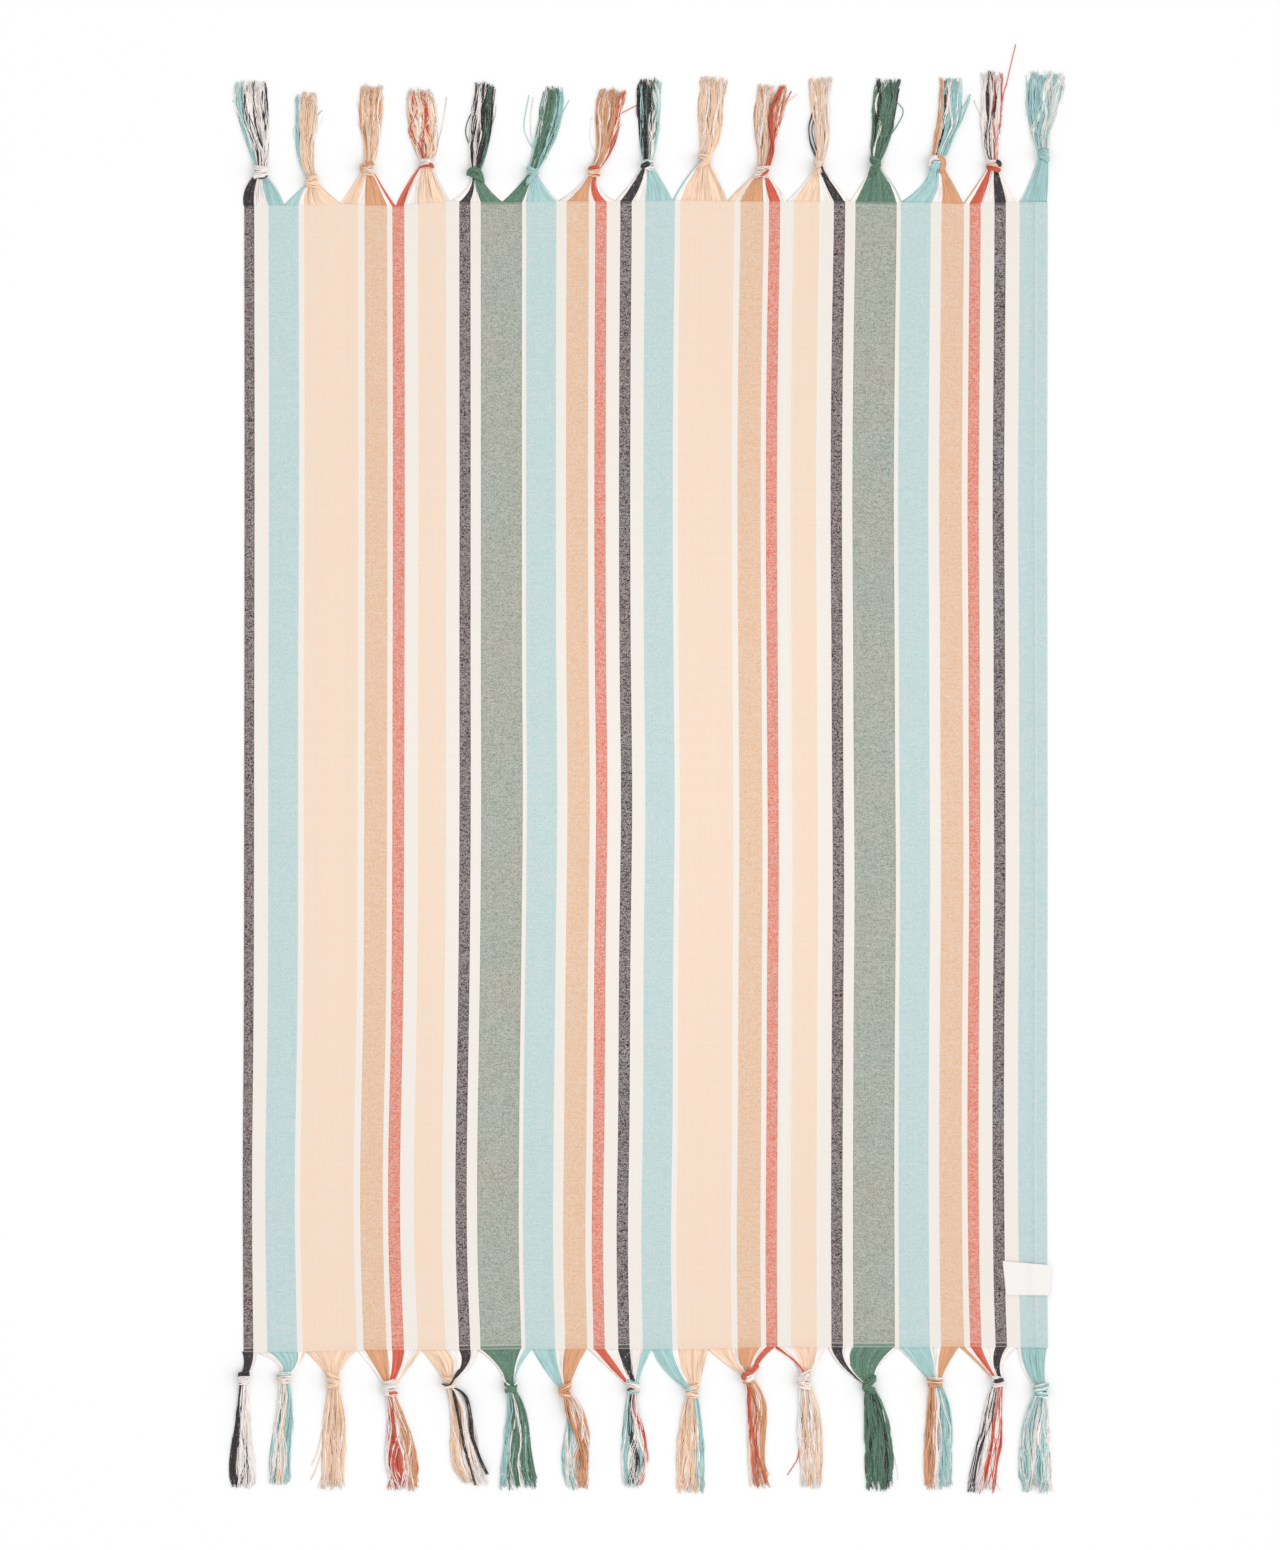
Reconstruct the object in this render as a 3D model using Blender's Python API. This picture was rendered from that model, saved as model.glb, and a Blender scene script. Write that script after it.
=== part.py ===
"""Hammam towel: a flat woven cotton cloth lying face up, its warp ends knotted into tassels.

Units are metres, with tables in millimetres. The cloth lies in the XY plane on z = 0, with
its warp stripes along Y. The origin is the middle of the cloth's underside. Each end of the
cloth carries a row of tassels: the warp ends of one stretch of the edge gather in a web,
pass through an overhand knot and fan out in a loose tail that rests on the surface.
"""
import math
from collections.abc import Callable, Sequence
from typing import NamedTuple

import bmesh
import bpy
import numpy as np

MM = 0.001

# Driving dimensions, in millimetres.
CLOTH_WIDE = 964.0        # side edge to side edge
CLOTH_THICK = 1.2         # one layer of the weave
HEM_WIDE = 15.0           # turned hem down the right side
HEM_THICK = 2.2           # the hem is the weave folded once
HEM_STEP = 1.5            # width of the slope up to the hem
CLOTH_ROWS = 22           # faces along the cloth
GAP = 0.3                 # clearance between neighbouring pieces
LABEL_THICK = 1.0
LABEL_RAMP = (8.0, 3.0)   # where the label starts and ends its climb, before the hem's line

LOCKS = 8                 # locks of yarn in one tail
LOCK_FILL = 0.74          # share of its pitch that a lock fills
LOCK_RAGGED = 3.0         # how much shorter the shortest lock of a tail is
NECK_SHARE = 0.8          # width of the gathered yarn, as a share of the knot's
LOCK_ROOT = 0.15          # where the locks start, past the knot's middle, as a share of its length
THREAD_WIDE = 1.2         # a stray thread
STRAY_NECK = 0.7          # share of its width that a stray thread has inside the knot
STRAY_ROOT = 0.44         # its place inside the knot: a share of the neck's width off the middle
STRAY_LEAVES = 0.16       # share of the tail's length at which it leaves the tail's side
STRAY_TIP = 0.8           # share of its thickness that it has at its tip
WEB_DRAW = 1.6            # how fast a web's sides draw in: 1 is straight
KNOT_INSET = 0.25         # inset of the flat of the knot's section, as a share of its width
SIDE_LOW, SIDE_HIGH = 0.3, 0.7      # the upright part of a section's sides, as shares of its height

# Web: share of the way to the knot's middle, underside, top (mm), inset of the flat.
WEB_STATIONS = [
    (0.00, 0.0, CLOTH_THICK, 0.01),
    (0.28, 0.0, 2.0, 0.05),
    (0.55, 0.0, 3.4, 0.12),
]
# Knot: place along it as a share of its length, width as a share of its own, underside, top (mm).
KNOT_STATIONS = [
    (-0.50, NECK_SHARE, 0.8, 6.8),
    (-0.38, 0.96, 0.0, 10.2),
    (0.00, 1.00, 0.0, 11.0),
    (0.38, 0.96, 0.0, 10.2),
    (0.56, NECK_SHARE, 1.5, 7.5),
]
# Lock: share of its length, underside, ridge (mm).
LOCK_STATIONS = [
    (0.00, 3.2, 6.0),
    (0.13, 1.0, 5.2),
    (0.34, 0.0, 4.0),
    (0.66, 0.0, 3.4),
    (1.00, 0.0, 2.0),
]
STRAY_HEIGHTS = (3.6, 5.2)          # underside and ridge of a stray inside the knot (mm)
SHARP_ANGLE = math.radians(50.0)


class Pull(NamedTuple):
    """One soft sideways pull of the lying cloth: centre, reach and shift, in millimetres."""

    x: float
    y: float
    wide: float
    tall: float
    shift: float


PULLS = [
    Pull(x=-380, y=350, wide=240, tall=400, shift=1.5),
    Pull(x=-330, y=-500, wide=220, tall=170, shift=-4.4),
    Pull(x=-40, y=-30, wide=160, tall=130, shift=2.0),
    Pull(x=0, y=-570, wide=170, tall=120, shift=-2.6),
    Pull(x=180, y=690, wide=230, tall=130, shift=2.8),
    Pull(x=200, y=330, wide=240, tall=150, shift=-1.2),
    Pull(x=250, y=-140, wide=220, tall=130, shift=1.3),
    Pull(x=440, y=330, wide=120, tall=120, shift=-0.8),
    Pull(x=400, y=-480, wide=150, tall=120, shift=-0.9),
]


class Notch(NamedTuple):
    """A point of the cloth's end edge where two tassels part, in millimetres.

    `out` is the distance from the line across the towel's middle.
    """

    x: float
    out: float


TOP_NOTCHES = [
    Notch(x=-482, out=685), Notch(x=-434, out=685), Notch(x=-366, out=687), Notch(x=-300, out=684),
    Notch(x=-234, out=690), Notch(x=-172, out=689), Notch(x=-105, out=690), Notch(x=-37, out=690),
    Notch(x=32, out=691), Notch(x=98, out=690), Notch(x=169, out=690), Notch(x=245, out=690),
    Notch(x=307, out=689), Notch(x=381, out=687), Notch(x=448, out=689), Notch(x=481, out=689),
]
BOTTOM_NOTCHES = [
    Notch(x=-484, out=692), Notch(x=-466, out=692), Notch(x=-408, out=691), Notch(x=-346, out=689),
    Notch(x=-269, out=689), Notch(x=-202, out=689), Notch(x=-136, out=688), Notch(x=-69, out=688),
    Notch(x=8, out=688), Notch(x=75, out=688), Notch(x=155, out=685), Notch(x=219, out=686),
    Notch(x=302, out=686), Notch(x=376, out=685), Notch(x=446, out=686), Notch(x=481, out=686),
]


class Tassel(NamedTuple):
    """One tassel, in millimetres: its knot, the middle of its tail and its tip.

    `wrap` is the slant of the knot's wrap in degrees, seen from above, and `yarn` the
    colour that most of its yarn has.
    """

    knot_x: float
    knot_out: float
    knot_wide: float
    knot_long: float
    wrap: float
    mid_x: float
    mid_wide: float
    tip_x: float
    tip_wide: float
    tip_out: float
    yarn: str


TOP_TASSELS = [
    Tassel(-461, 724, 18, 16, 5, -470, 34, -474, 36, 831, "ecru"),
    Tassel(-400, 713, 16, 16, -5, -408, 20, -407, 22, 818, "peach"),
    Tassel(-333, 728, 17, 16, -15, -330, 25, -330, 24, 827, "tan"),
    Tassel(-263, 733, 17, 13, 10, -267, 32, -270, 31, 822, "coral"),
    Tassel(-204, 722, 15, 13, -20, -197, 21, -194, 23, 829, "black"),
    Tassel(-136, 722, 16, 16, 45, -119, 26, -112, 25, 824, "green"),
    Tassel(-62, 725, 16, 13, -25, -47, 25, -40, 27, 823, "tan"),
    Tassel(2, 733, 16, 13, -8, 4, 25, 4, 28, 834, "aqua"),
    Tassel(70, 738, 17, 16, 30, 78, 28, 80, 30, 836, "peach"),
    Tassel(140, 724, 19, 14, -20, 146, 30, 152, 34, 827, "coral"),
    Tassel(207, 730, 17, 18, 20, 206, 24, 210, 29, 835, "peach"),
    Tassel(275, 733, 15, 18, 40, 284, 25, 291, 29, 834, "green"),
    Tassel(349, 735, 20, 18, 15, 362, 25, 364, 23, 834, "tan"),
    Tassel(417, 732, 18, 14, -12, 414, 24, 416, 23, 842, "ecru"),
    Tassel(477, 745, 15, 14, -20, 475, 30, 482, 41, 842, "aqua"),
]
BOTTOM_TASSELS = [
    Tassel(-482, 722, 15, 16, -5, -484, 22, -484, 31, 853, "black"),
    Tassel(-434, 722, 18, 14, -3, -437, 22, -441, 24, 848, "aqua"),
    Tassel(-375, 726, 17, 19, 25, -375, 28, -375, 28, 853, "peach"),
    Tassel(-308, 734, 17, 20, -10, -296, 34, -291, 34, 855, "coral"),
    Tassel(-236, 727, 16, 14, 15, -221, 29, -208, 34, 850, "peach"),
    Tassel(-162, 733, 16, 13, 10, -154, 29, -150, 41, 853, "green"),
    Tassel(-97, 737, 17, 16, -25, -85, 27, -82, 28, 853, "tan"),
    Tassel(-15, 733, 18, 16, 20, -15, 26, -15, 23, 850, "aqua"),
    Tassel(56, 738, 17, 16, -20, 54, 29, 52, 31, 857, "peach"),
    Tassel(123, 721, 17, 18, 25, 132, 22, 138, 24, 851, "coral"),
    Tassel(190, 725, 18, 22, -30, 195, 24, 201, 24, 852, "peach"),
    Tassel(268, 731, 18, 18, -35, 279, 30, 281, 32, 855, "green"),
    Tassel(347, 729, 20, 18, 5, 350, 29, 350, 32, 853, "tan"),
    Tassel(423, 726, 18, 13, 10, 412, 29, 402, 32, 857, "coral"),
    Tassel(474, 737, 19, 17, -15, 468, 32, 468, 37, 858, "aqua"),
]


class Stray(NamedTuple):
    """A thread or lock that leaves the side of a tail, in millimetres.

    `side` is +1 for the tail's right and -1 for its left.
    """

    end: str
    number: int
    side: int
    wide: float
    mid_x: float
    mid_out: float
    tip_x: float
    tip_out: float


STRAYS = [
    Stray("top", 6, -1, THREAD_WIDE, mid_x=-144, mid_out=781, tip_x=-140, tip_out=817),
    Stray("top", 13, 1, 3.0, mid_x=377, mid_out=781, tip_x=389, tip_out=817),
    Stray("top", 14, 1, THREAD_WIDE, mid_x=431, mid_out=826, tip_x=444, tip_out=878),
    Stray("bottom", 11, -1, THREAD_WIDE, mid_x=181, mid_out=800, tip_x=170, tip_out=839),
]

# The label's corners, in millimetres: it was sewn on a little askew.
LABEL_LEFT_TOP = (428.0, -581.5)
LABEL_RIGHT_TOP = (485.5, -586.5)
LABEL_LEFT_FOOT = (432.0, -623.0)
LABEL_RIGHT_FOOT = (484.5, -623.0)
LABEL_COLUMNS = (0.0, 0.3, 0.45, 0.5, 0.55, 0.6, 0.65, 0.7, 0.8, 1.0)
LABEL_ROWS = 4

# Base colours (linear), roughness: (red, green, blue, roughness).
FINISHES = {
    "cloth": (0.82, 0.74, 0.65, 0.9),
    "label": (0.88, 0.87, 0.83, 0.7),
    "black": (0.03, 0.025, 0.028, 0.85),
    "aqua": (0.30, 0.60, 0.58, 0.85),
    "peach": (0.89, 0.61, 0.39, 0.85),
    "tan": (0.72, 0.38, 0.17, 0.85),
    "coral": (0.60, 0.09, 0.05, 0.85),
    "green": (0.06, 0.17, 0.10, 0.85),
    "ecru": (0.85, 0.80, 0.72, 0.85),
}


def clear_scene() -> None:
    """Remove whatever objects the scene holds."""
    for item in list(bpy.data.objects):
        bpy.data.objects.remove(item, do_unlink=True)


def new_collection(name: str) -> bpy.types.Collection:
    """Add a collection to the scene and return it."""
    collection = bpy.data.collections.new(name)
    bpy.context.scene.collection.children.link(collection)
    return collection


def finish(name: str) -> bpy.types.Material:
    """Return the named finish as a Principled material, made on first use."""
    material = bpy.data.materials.get(name)
    if material is None:
        red, green, blue, roughness = FINISHES[name]
        material = bpy.data.materials.new(name)
        material.use_nodes = True
        shader = material.node_tree.nodes["Principled BSDF"]
        shader.inputs["Base Color"].default_value = (red, green, blue, 1.0)
        shader.inputs["Roughness"].default_value = roughness
        shader.inputs["Metallic"].default_value = 0.0
    return material


def add_object(
    name: str, bm: bmesh.types.BMesh, collection: bpy.types.Collection, smooth: bool = False
) -> bpy.types.Object:
    """Turn a mesh in millimetres into an object in metres, its faces pointing out.

    A smooth object keeps only the edges sharp that turn by more than SHARP_ANGLE.
    """
    bmesh.ops.scale(bm, vec=(MM, MM, MM), verts=bm.verts)
    bmesh.ops.triangulate(bm, faces=bm.faces)
    bmesh.ops.recalc_face_normals(bm, faces=bm.faces)
    mesh = bpy.data.meshes.new(name)
    bm.to_mesh(mesh)
    bm.free()
    if smooth:
        mesh.shade_smooth()
        mesh.set_sharp_from_angle(angle=SHARP_ANGLE)
    item = bpy.data.objects.new(name, mesh)
    collection.objects.link(item)
    return item


def pulled(x: float, y: float) -> float:
    """Sideways shift of the lying cloth at a place: the sum of its soft pulls."""
    return sum(
        pull.shift * math.exp(-((x - pull.x) / pull.wide) ** 2 - ((y - pull.y) / pull.tall) ** 2)
        for pull in PULLS
    )


def sheet(
    name: str, columns: Sequence[float], rows: int, place: Callable[[float, float], tuple],
    low: Callable[[float, float], float], high: Callable[[float, float], float],
    collection: bpy.types.Collection,
) -> bpy.types.Object:
    """Make a closed sheet from a grid: `place` gives (x, y), `low` and `high` its two faces.

    `columns` are the grid's stations across, as numbers that `place` understands, and the
    second parameter of `place` runs from 0 to 1 along the sheet.
    """
    bm = bmesh.new()
    bmesh.ops.create_grid(bm, x_segments=len(columns) - 1, y_segments=rows, size=1.0)
    for vert in bm.verts:
        station = (vert.co.x + 1.0) / 2.0 * (len(columns) - 1)
        across = columns[round(station)]
        along = (vert.co.y + 1.0) / 2.0
        x, y = place(across, along)
        vert.co = (x, y, low(x, y))
    raised = bmesh.ops.extrude_face_region(bm, geom=bm.faces[:])
    for vert in (item for item in raised["geom"] if isinstance(item, bmesh.types.BMVert)):
        vert.co.z = high(vert.co.x, vert.co.y)
    return add_object(name, bm, collection)


def end_point(notches: list, across: float) -> tuple:
    """Point of the cloth's end edge at a column: the edge runs straight from notch to notch."""
    numbers = range(len(notches))
    x = float(np.interp(across, numbers, [notch.x for notch in notches]))
    out = float(np.interp(across, numbers, [notch.out for notch in notches]))
    return x, out


def cloth_point(across: float, along: float) -> tuple:
    """Point of the cloth: a column joins the two ends' edges, shifted by the soft pulls."""
    foot_x, foot_out = end_point(BOTTOM_NOTCHES, across)
    head_x, head_out = end_point(TOP_NOTCHES, across)
    x = foot_x + (head_x - foot_x) * along
    y = -foot_out + (head_out + foot_out) * along
    if 0.0 < along < 1.0:
        side = (across / (len(TOP_NOTCHES) - 1) - 0.5) * CLOTH_WIDE
        x = x + pulled(side, y)
    return x, y


def hem_line(y: float) -> float:
    """Where the turned hem starts at a height y, measured across the cloth."""
    edge = len(TOP_NOTCHES) - 1.0
    along = (y + BOTTOM_NOTCHES[-1].out) / (TOP_NOTCHES[-1].out + BOTTOM_NOTCHES[-1].out)
    return cloth_point(edge, along)[0] - HEM_WIDE


def cloth_top(x: float, y: float) -> float:
    """Height of the cloth's face: one layer, and two over the turned hem."""
    share = (x - hem_line(y) + HEM_STEP) / HEM_STEP
    return CLOTH_THICK + (HEM_THICK - CLOTH_THICK) * min(max(share, 0.0), 1.0)


def make_cloth(collection: bpy.types.Collection) -> None:
    """Weave the cloth panel, with a column at each notch and two at the hem's slope."""
    last = len(TOP_NOTCHES) - 1.0
    strip = TOP_NOTCHES[-1].x - TOP_NOTCHES[-2].x
    slope = last - HEM_WIDE / strip
    columns = [float(number) for number in range(len(TOP_NOTCHES) - 1)]
    columns += [slope - HEM_STEP / strip, slope, last]
    cloth = sheet("cloth", columns, CLOTH_ROWS, cloth_point, lambda x, y: 0.0, cloth_top, collection)
    cloth.data.materials.append(finish("cloth"))


def label_point(across: float, along: float) -> tuple:
    """Point of the label: a bilinear blend of its four corners."""
    foot = [a + (b - a) * across for a, b in zip(LABEL_LEFT_FOOT, LABEL_RIGHT_FOOT)]
    head = [a + (b - a) * across for a, b in zip(LABEL_LEFT_TOP, LABEL_RIGHT_TOP)]
    return foot[0] + (head[0] - foot[0]) * along, foot[1] + (head[1] - foot[1]) * along


def label_low(x: float, y: float) -> float:
    """Underside of the label: it climbs onto the hem a little before the hem's own slope."""
    start, stop = LABEL_RAMP
    share = (x - hem_line(y) + start) / (start - stop)
    return CLOTH_THICK + GAP + (HEM_THICK - CLOTH_THICK) * min(max(share, 0.0), 1.0)


def make_label(collection: bpy.types.Collection) -> None:
    """Cut the label's tape and lay it on the cloth and its hem."""
    label = sheet(
        "label", LABEL_COLUMNS, LABEL_ROWS, label_point,
        label_low, lambda x, y: label_low(x, y) + LABEL_THICK, collection,
    )
    label.data.materials.append(finish("label"))


def loft(bm: bmesh.types.BMesh, rings: list) -> None:
    """Skin a list of rings, each with the same count of points, and cap both ends."""
    layers = [[bm.verts.new(point) for point in ring] for ring in rings]
    for lower, upper in zip(layers, layers[1:]):
        for index in range(len(lower)):
            following = (index + 1) % len(lower)
            bm.faces.new((lower[index], lower[following], upper[following], upper[index]))
    bm.faces.new(list(reversed(layers[0])))
    bm.faces.new(layers[-1])


def curve_at(start: float, middle: float, end: float, share: float) -> float:
    """Value of the parabola through three values, at a share of the way from 0 to 1."""
    at_start = (1.0 - share) * (1.0 - 2.0 * share)
    at_middle = 4.0 * share * (1.0 - share)
    at_end = share * (2.0 * share - 1.0)
    return start * at_start + middle * at_middle + end * at_end


def section(centre: tuple, wide: float, low: float, high: float, inset: float) -> list:
    """Eight-sided section across the yarn, flat underneath: points (across, out, z).

    `inset` is how far the flat top and bottom stay inside the sides, as a share of the width.
    """
    corners = [(0.0, SIDE_LOW), (inset, 0.0), (1.0 - inset, 0.0), (1.0, SIDE_LOW),
               (1.0, SIDE_HIGH), (1.0 - inset, 1.0), (inset, 1.0), (0.0, SIDE_HIGH)]
    return [(centre[0] + (part - 0.5) * wide, centre[1], low + (high - low) * up) for part, up in corners]


def web_rings(tassel: Tassel, left: Notch, right: Notch) -> list:
    """Rings of the gathered warp, from the cloth's edge to the knot.

    The web's sides draw in quickly at first and then slowly, and it rises off the surface
    and thickens as it nears the knot. Each ring is turned to run from one side's line to
    the other's, so the first lies along the cloth's edge.
    """
    neck = tassel.knot_wide * NECK_SHARE / 2.0
    sides = (
        (left.x + GAP / 2.0, left.out + GAP, tassel.knot_x - neck),
        (right.x - GAP / 2.0, right.out + GAP, tassel.knot_x + neck),
    )
    rings = []
    for share, low, high, inset in WEB_STATIONS:
        drawn = 1.0 - (1.0 - share) ** WEB_DRAW
        (x_left, out_left), (x_right, out_right) = [
            (x + (knot_x - x) * drawn, out + (tassel.knot_out - out) * share)
            for x, out, knot_x in sides
        ]
        rings.append([
            (x, out_left + (out_right - out_left) * (x - x_left) / (x_right - x_left), z)
            for x, _, z in section(((x_left + x_right) / 2.0, 0.0), x_right - x_left, low, high, inset)
        ])
    return rings


def knot_rings(tassel: Tassel) -> list:
    """Rings of the overhand knot: a fat band, slanted across the yarn, with a neck on each side."""
    slant = math.radians(tassel.wrap)
    rings = []
    for place, share, low, high in KNOT_STATIONS:
        ring = []
        centre = (0.0, place * tassel.knot_long)
        for x, out, z in section(centre, tassel.knot_wide * share, low, high, KNOT_INSET):
            across = x * math.cos(slant) - out * math.sin(slant)
            along = x * math.sin(slant) + out * math.cos(slant)
            ring.append((tassel.knot_x + across, tassel.knot_out + along, z))
        rings.append(ring)
    return rings


def tail_at(tassel: Tassel, share: float) -> tuple:
    """Middle and width of the tail at a share of its length: parabolas through three places."""
    neck = tassel.knot_wide * NECK_SHARE * NECK_SHARE
    middle = curve_at(tassel.knot_x, tassel.mid_x, tassel.tip_x, share)
    return middle, curve_at(neck, tassel.mid_wide, tassel.tip_wide, share)


def lock_ring(x: float, out: float, wide: float, low: float, high: float) -> list:
    """Three-sided section of a lock: flat underneath, with a ridge on top."""
    return [(x - wide / 2.0, out, low), (x + wide / 2.0, out, low), (x, out, high)]


def tail_root(tassel: Tassel) -> float:
    """Where the locks start, inside the knot."""
    return tassel.knot_out + LOCK_ROOT * tassel.knot_long


def lock_rings(tassel: Tassel, slot: float, tip_out: float) -> list:
    """Rings of one lock: rooted inside the knot, then down to the surface and along it.

    `slot` is the lock's place across the tail, from -0.5 to 0.5.
    """
    root = tail_root(tassel)
    rings = []
    for share, low, high in LOCK_STATIONS:
        middle, wide = tail_at(tassel, share)
        out = root + (tip_out - root) * share
        rings.append(lock_ring(middle + slot * wide, out, wide / LOCKS * LOCK_FILL, low, high))
    return rings


def stray_rings(tassel: Tassel, stray: Stray) -> list:
    """Rings of a stray: out of the knot beside the outermost lock, then its own way."""
    root = tail_root(tassel)
    middle, wide = tail_at(tassel, STRAY_LEAVES)
    root_x = tassel.knot_x + stray.side * tassel.knot_wide * NECK_SHARE * STRAY_ROOT
    leaving_x = middle + stray.side * (wide / 2.0 + THREAD_WIDE)
    leaving_out = root + (tassel.tip_out - root) * STRAY_LEAVES
    lifted = 1.0
    return [
        lock_ring(root_x, root, THREAD_WIDE * STRAY_NECK, *STRAY_HEIGHTS),
        lock_ring(leaving_x, leaving_out, THREAD_WIDE, lifted, lifted + THREAD_WIDE),
        lock_ring(stray.mid_x, stray.mid_out, stray.wide, 0.0, stray.wide),
        lock_ring(stray.tip_x, stray.tip_out, stray.wide, 0.0, stray.wide * STRAY_TIP),
    ]


def add_union(item: bpy.types.Object, other: bpy.types.Object) -> None:
    """Join another solid to an object with an exact Boolean."""
    other.hide_render = True
    other.display_type = "WIRE"
    union = item.modifiers.new("join " + other.name, "BOOLEAN")
    union.operation = "UNION"
    union.solver = "EXACT"
    union.object = other


def faced(rings: list, sign: int) -> list:
    """Turn rings of (across, out, z) points into world points, for the top or the bottom end."""
    return [[(x, sign * out, z) for x, out, z in ring] for ring in rings]


def make_tassel(
    end: str, number: int, tassel: Tassel, left: Notch, right: Notch,
    parts: bpy.types.Collection, cutters: bpy.types.Collection,
) -> None:
    """Knot one tassel: the web and its knot in one loft, joined with the tail's locks."""
    sign = 1 if end == "top" else -1
    name = f"tassel_{end}_{number:02d}"
    head = bmesh.new()
    loft(head, faced(web_rings(tassel, left, right) + knot_rings(tassel), sign))
    body = add_object(name, head, parts, smooth=True)
    body.data.materials.append(finish(tassel.yarn))

    tail = bmesh.new()
    for lock in range(LOCKS):
        ragged = abs(math.sin(2.4 * lock + 1.7 * number + sign))
        slot = (lock + 0.5) / LOCKS - 0.5
        loft(tail, faced(lock_rings(tassel, slot, tassel.tip_out - LOCK_RAGGED * ragged), sign))
    for stray in STRAYS:
        if (stray.end, stray.number) == (end, number):
            loft(tail, faced(stray_rings(tassel, stray), sign))
    add_union(body, add_object(name + "_tail", tail, cutters))


def main() -> None:
    """Build the towel: cloth, label and the tassels of both ends."""
    clear_scene()
    parts = new_collection("hammam_towel")
    cutters = new_collection("cutters")
    make_cloth(parts)
    make_label(parts)
    for end, tassels, notches in (
        ("top", TOP_TASSELS, TOP_NOTCHES),
        ("bottom", BOTTOM_TASSELS, BOTTOM_NOTCHES),
    ):
        for number, tassel in enumerate(tassels, start=1):
            left, right = notches[number - 1], notches[number]
            make_tassel(end, number, tassel, left, right, parts, cutters)


main()
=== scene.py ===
"""Looks of the hammam towel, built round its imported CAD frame.

A flat woven cotton towel lies face up on a pale floor. Its warp stripes run along Y, its warp
ends are knotted into fifteen tassels at each end, and a sewn label sits on the turned hem at
the right. Tables are in millimetres, meshes in metres.
"""
import logging
import math
from collections.abc import Sequence
from dataclasses import dataclass, field
from enum import Enum
from typing import NamedTuple, Union

import bpy
import numpy as np
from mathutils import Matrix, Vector


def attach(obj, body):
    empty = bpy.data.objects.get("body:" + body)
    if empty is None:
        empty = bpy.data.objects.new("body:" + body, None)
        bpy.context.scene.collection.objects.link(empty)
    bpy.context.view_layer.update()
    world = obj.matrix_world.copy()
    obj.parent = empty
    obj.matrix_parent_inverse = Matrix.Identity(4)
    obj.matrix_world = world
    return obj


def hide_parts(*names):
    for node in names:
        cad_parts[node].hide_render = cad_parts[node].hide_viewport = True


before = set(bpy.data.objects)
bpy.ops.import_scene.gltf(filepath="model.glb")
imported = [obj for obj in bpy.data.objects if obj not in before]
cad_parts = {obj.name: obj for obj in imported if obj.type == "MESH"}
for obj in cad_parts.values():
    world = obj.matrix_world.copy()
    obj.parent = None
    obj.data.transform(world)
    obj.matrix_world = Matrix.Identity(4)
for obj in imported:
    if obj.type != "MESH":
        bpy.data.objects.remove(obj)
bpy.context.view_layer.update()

LOG = logging.getLogger("hammam_towel")
MM = 0.001


class Dye(Enum):
    """The seven colours of yarn, by the letter that the tables use."""

    BLACK = "K"
    ECRU = "E"
    AQUA = "A"
    PEACH = "P"
    TAN = "T"
    CORAL = "C"
    GREEN = "G"


DYES = list(Dye)


class Tint(NamedTuple):
    """One dye's colours as sRGB bytes: loose in the fringe, and woven with the pale weft."""

    yarn: tuple
    woven: tuple


TINTS = {
    Dye.BLACK: Tint(yarn=(70, 65, 68), woven=(138, 128, 127)),
    Dye.ECRU: Tint(yarn=(245, 237, 233), woven=(245, 238, 231)),
    Dye.AQUA: Tint(yarn=(174, 209, 208), woven=(200, 219, 218)),
    Dye.PEACH: Tint(yarn=(243, 212, 186), woven=(247, 224, 204)),
    Dye.TAN: Tint(yarn=(222, 168, 130), woven=(235, 201, 174)),
    Dye.CORAL: Tint(yarn=(214, 106, 86), woven=(230, 159, 143)),
    Dye.GREEN: Tint(yarn=(104, 136, 117), woven=(176, 179, 168)),
}
WEFT = (246, 240, 233)    # the pale weft, as sRGB bytes
ILLUMINATION = 1.129      # light that the lying cloth gets, as how bright pure white would come out


class Stripe(NamedTuple):
    """One warp stripe of the repeat and its width in millimetres."""

    dye: Dye
    wide: float


REPEAT = [
    Stripe(Dye.BLACK, 13.5), Stripe(Dye.ECRU, 16.4), Stripe(Dye.AQUA, 36.4), Stripe(Dye.ECRU, 6.8),
    Stripe(Dye.PEACH, 63.7), Stripe(Dye.ECRU, 7.2), Stripe(Dye.TAN, 27.5), Stripe(Dye.ECRU, 6.3),
    Stripe(Dye.CORAL, 13.9), Stripe(Dye.ECRU, 16.5), Stripe(Dye.PEACH, 32.3), Stripe(Dye.ECRU, 16.5),
    Stripe(Dye.BLACK, 13.7), Stripe(Dye.ECRU, 12.3), Stripe(Dye.GREEN, 49.6), Stripe(Dye.ECRU, 5.2),
    Stripe(Dye.AQUA, 36.2), Stripe(Dye.ECRU, 12.3), Stripe(Dye.TAN, 27.1), Stripe(Dye.ECRU, 7.0),
    Stripe(Dye.CORAL, 13.7), Stripe(Dye.ECRU, 16.4),
]
FIRST_STRIPE = 1.5        # the left edge cuts this much off the first stripe
WARP_PITCH = 0.62         # one warp yarn to the next, in mm
WEFT_PITCH = 0.66         # one weft yarn to the next, in mm

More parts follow.
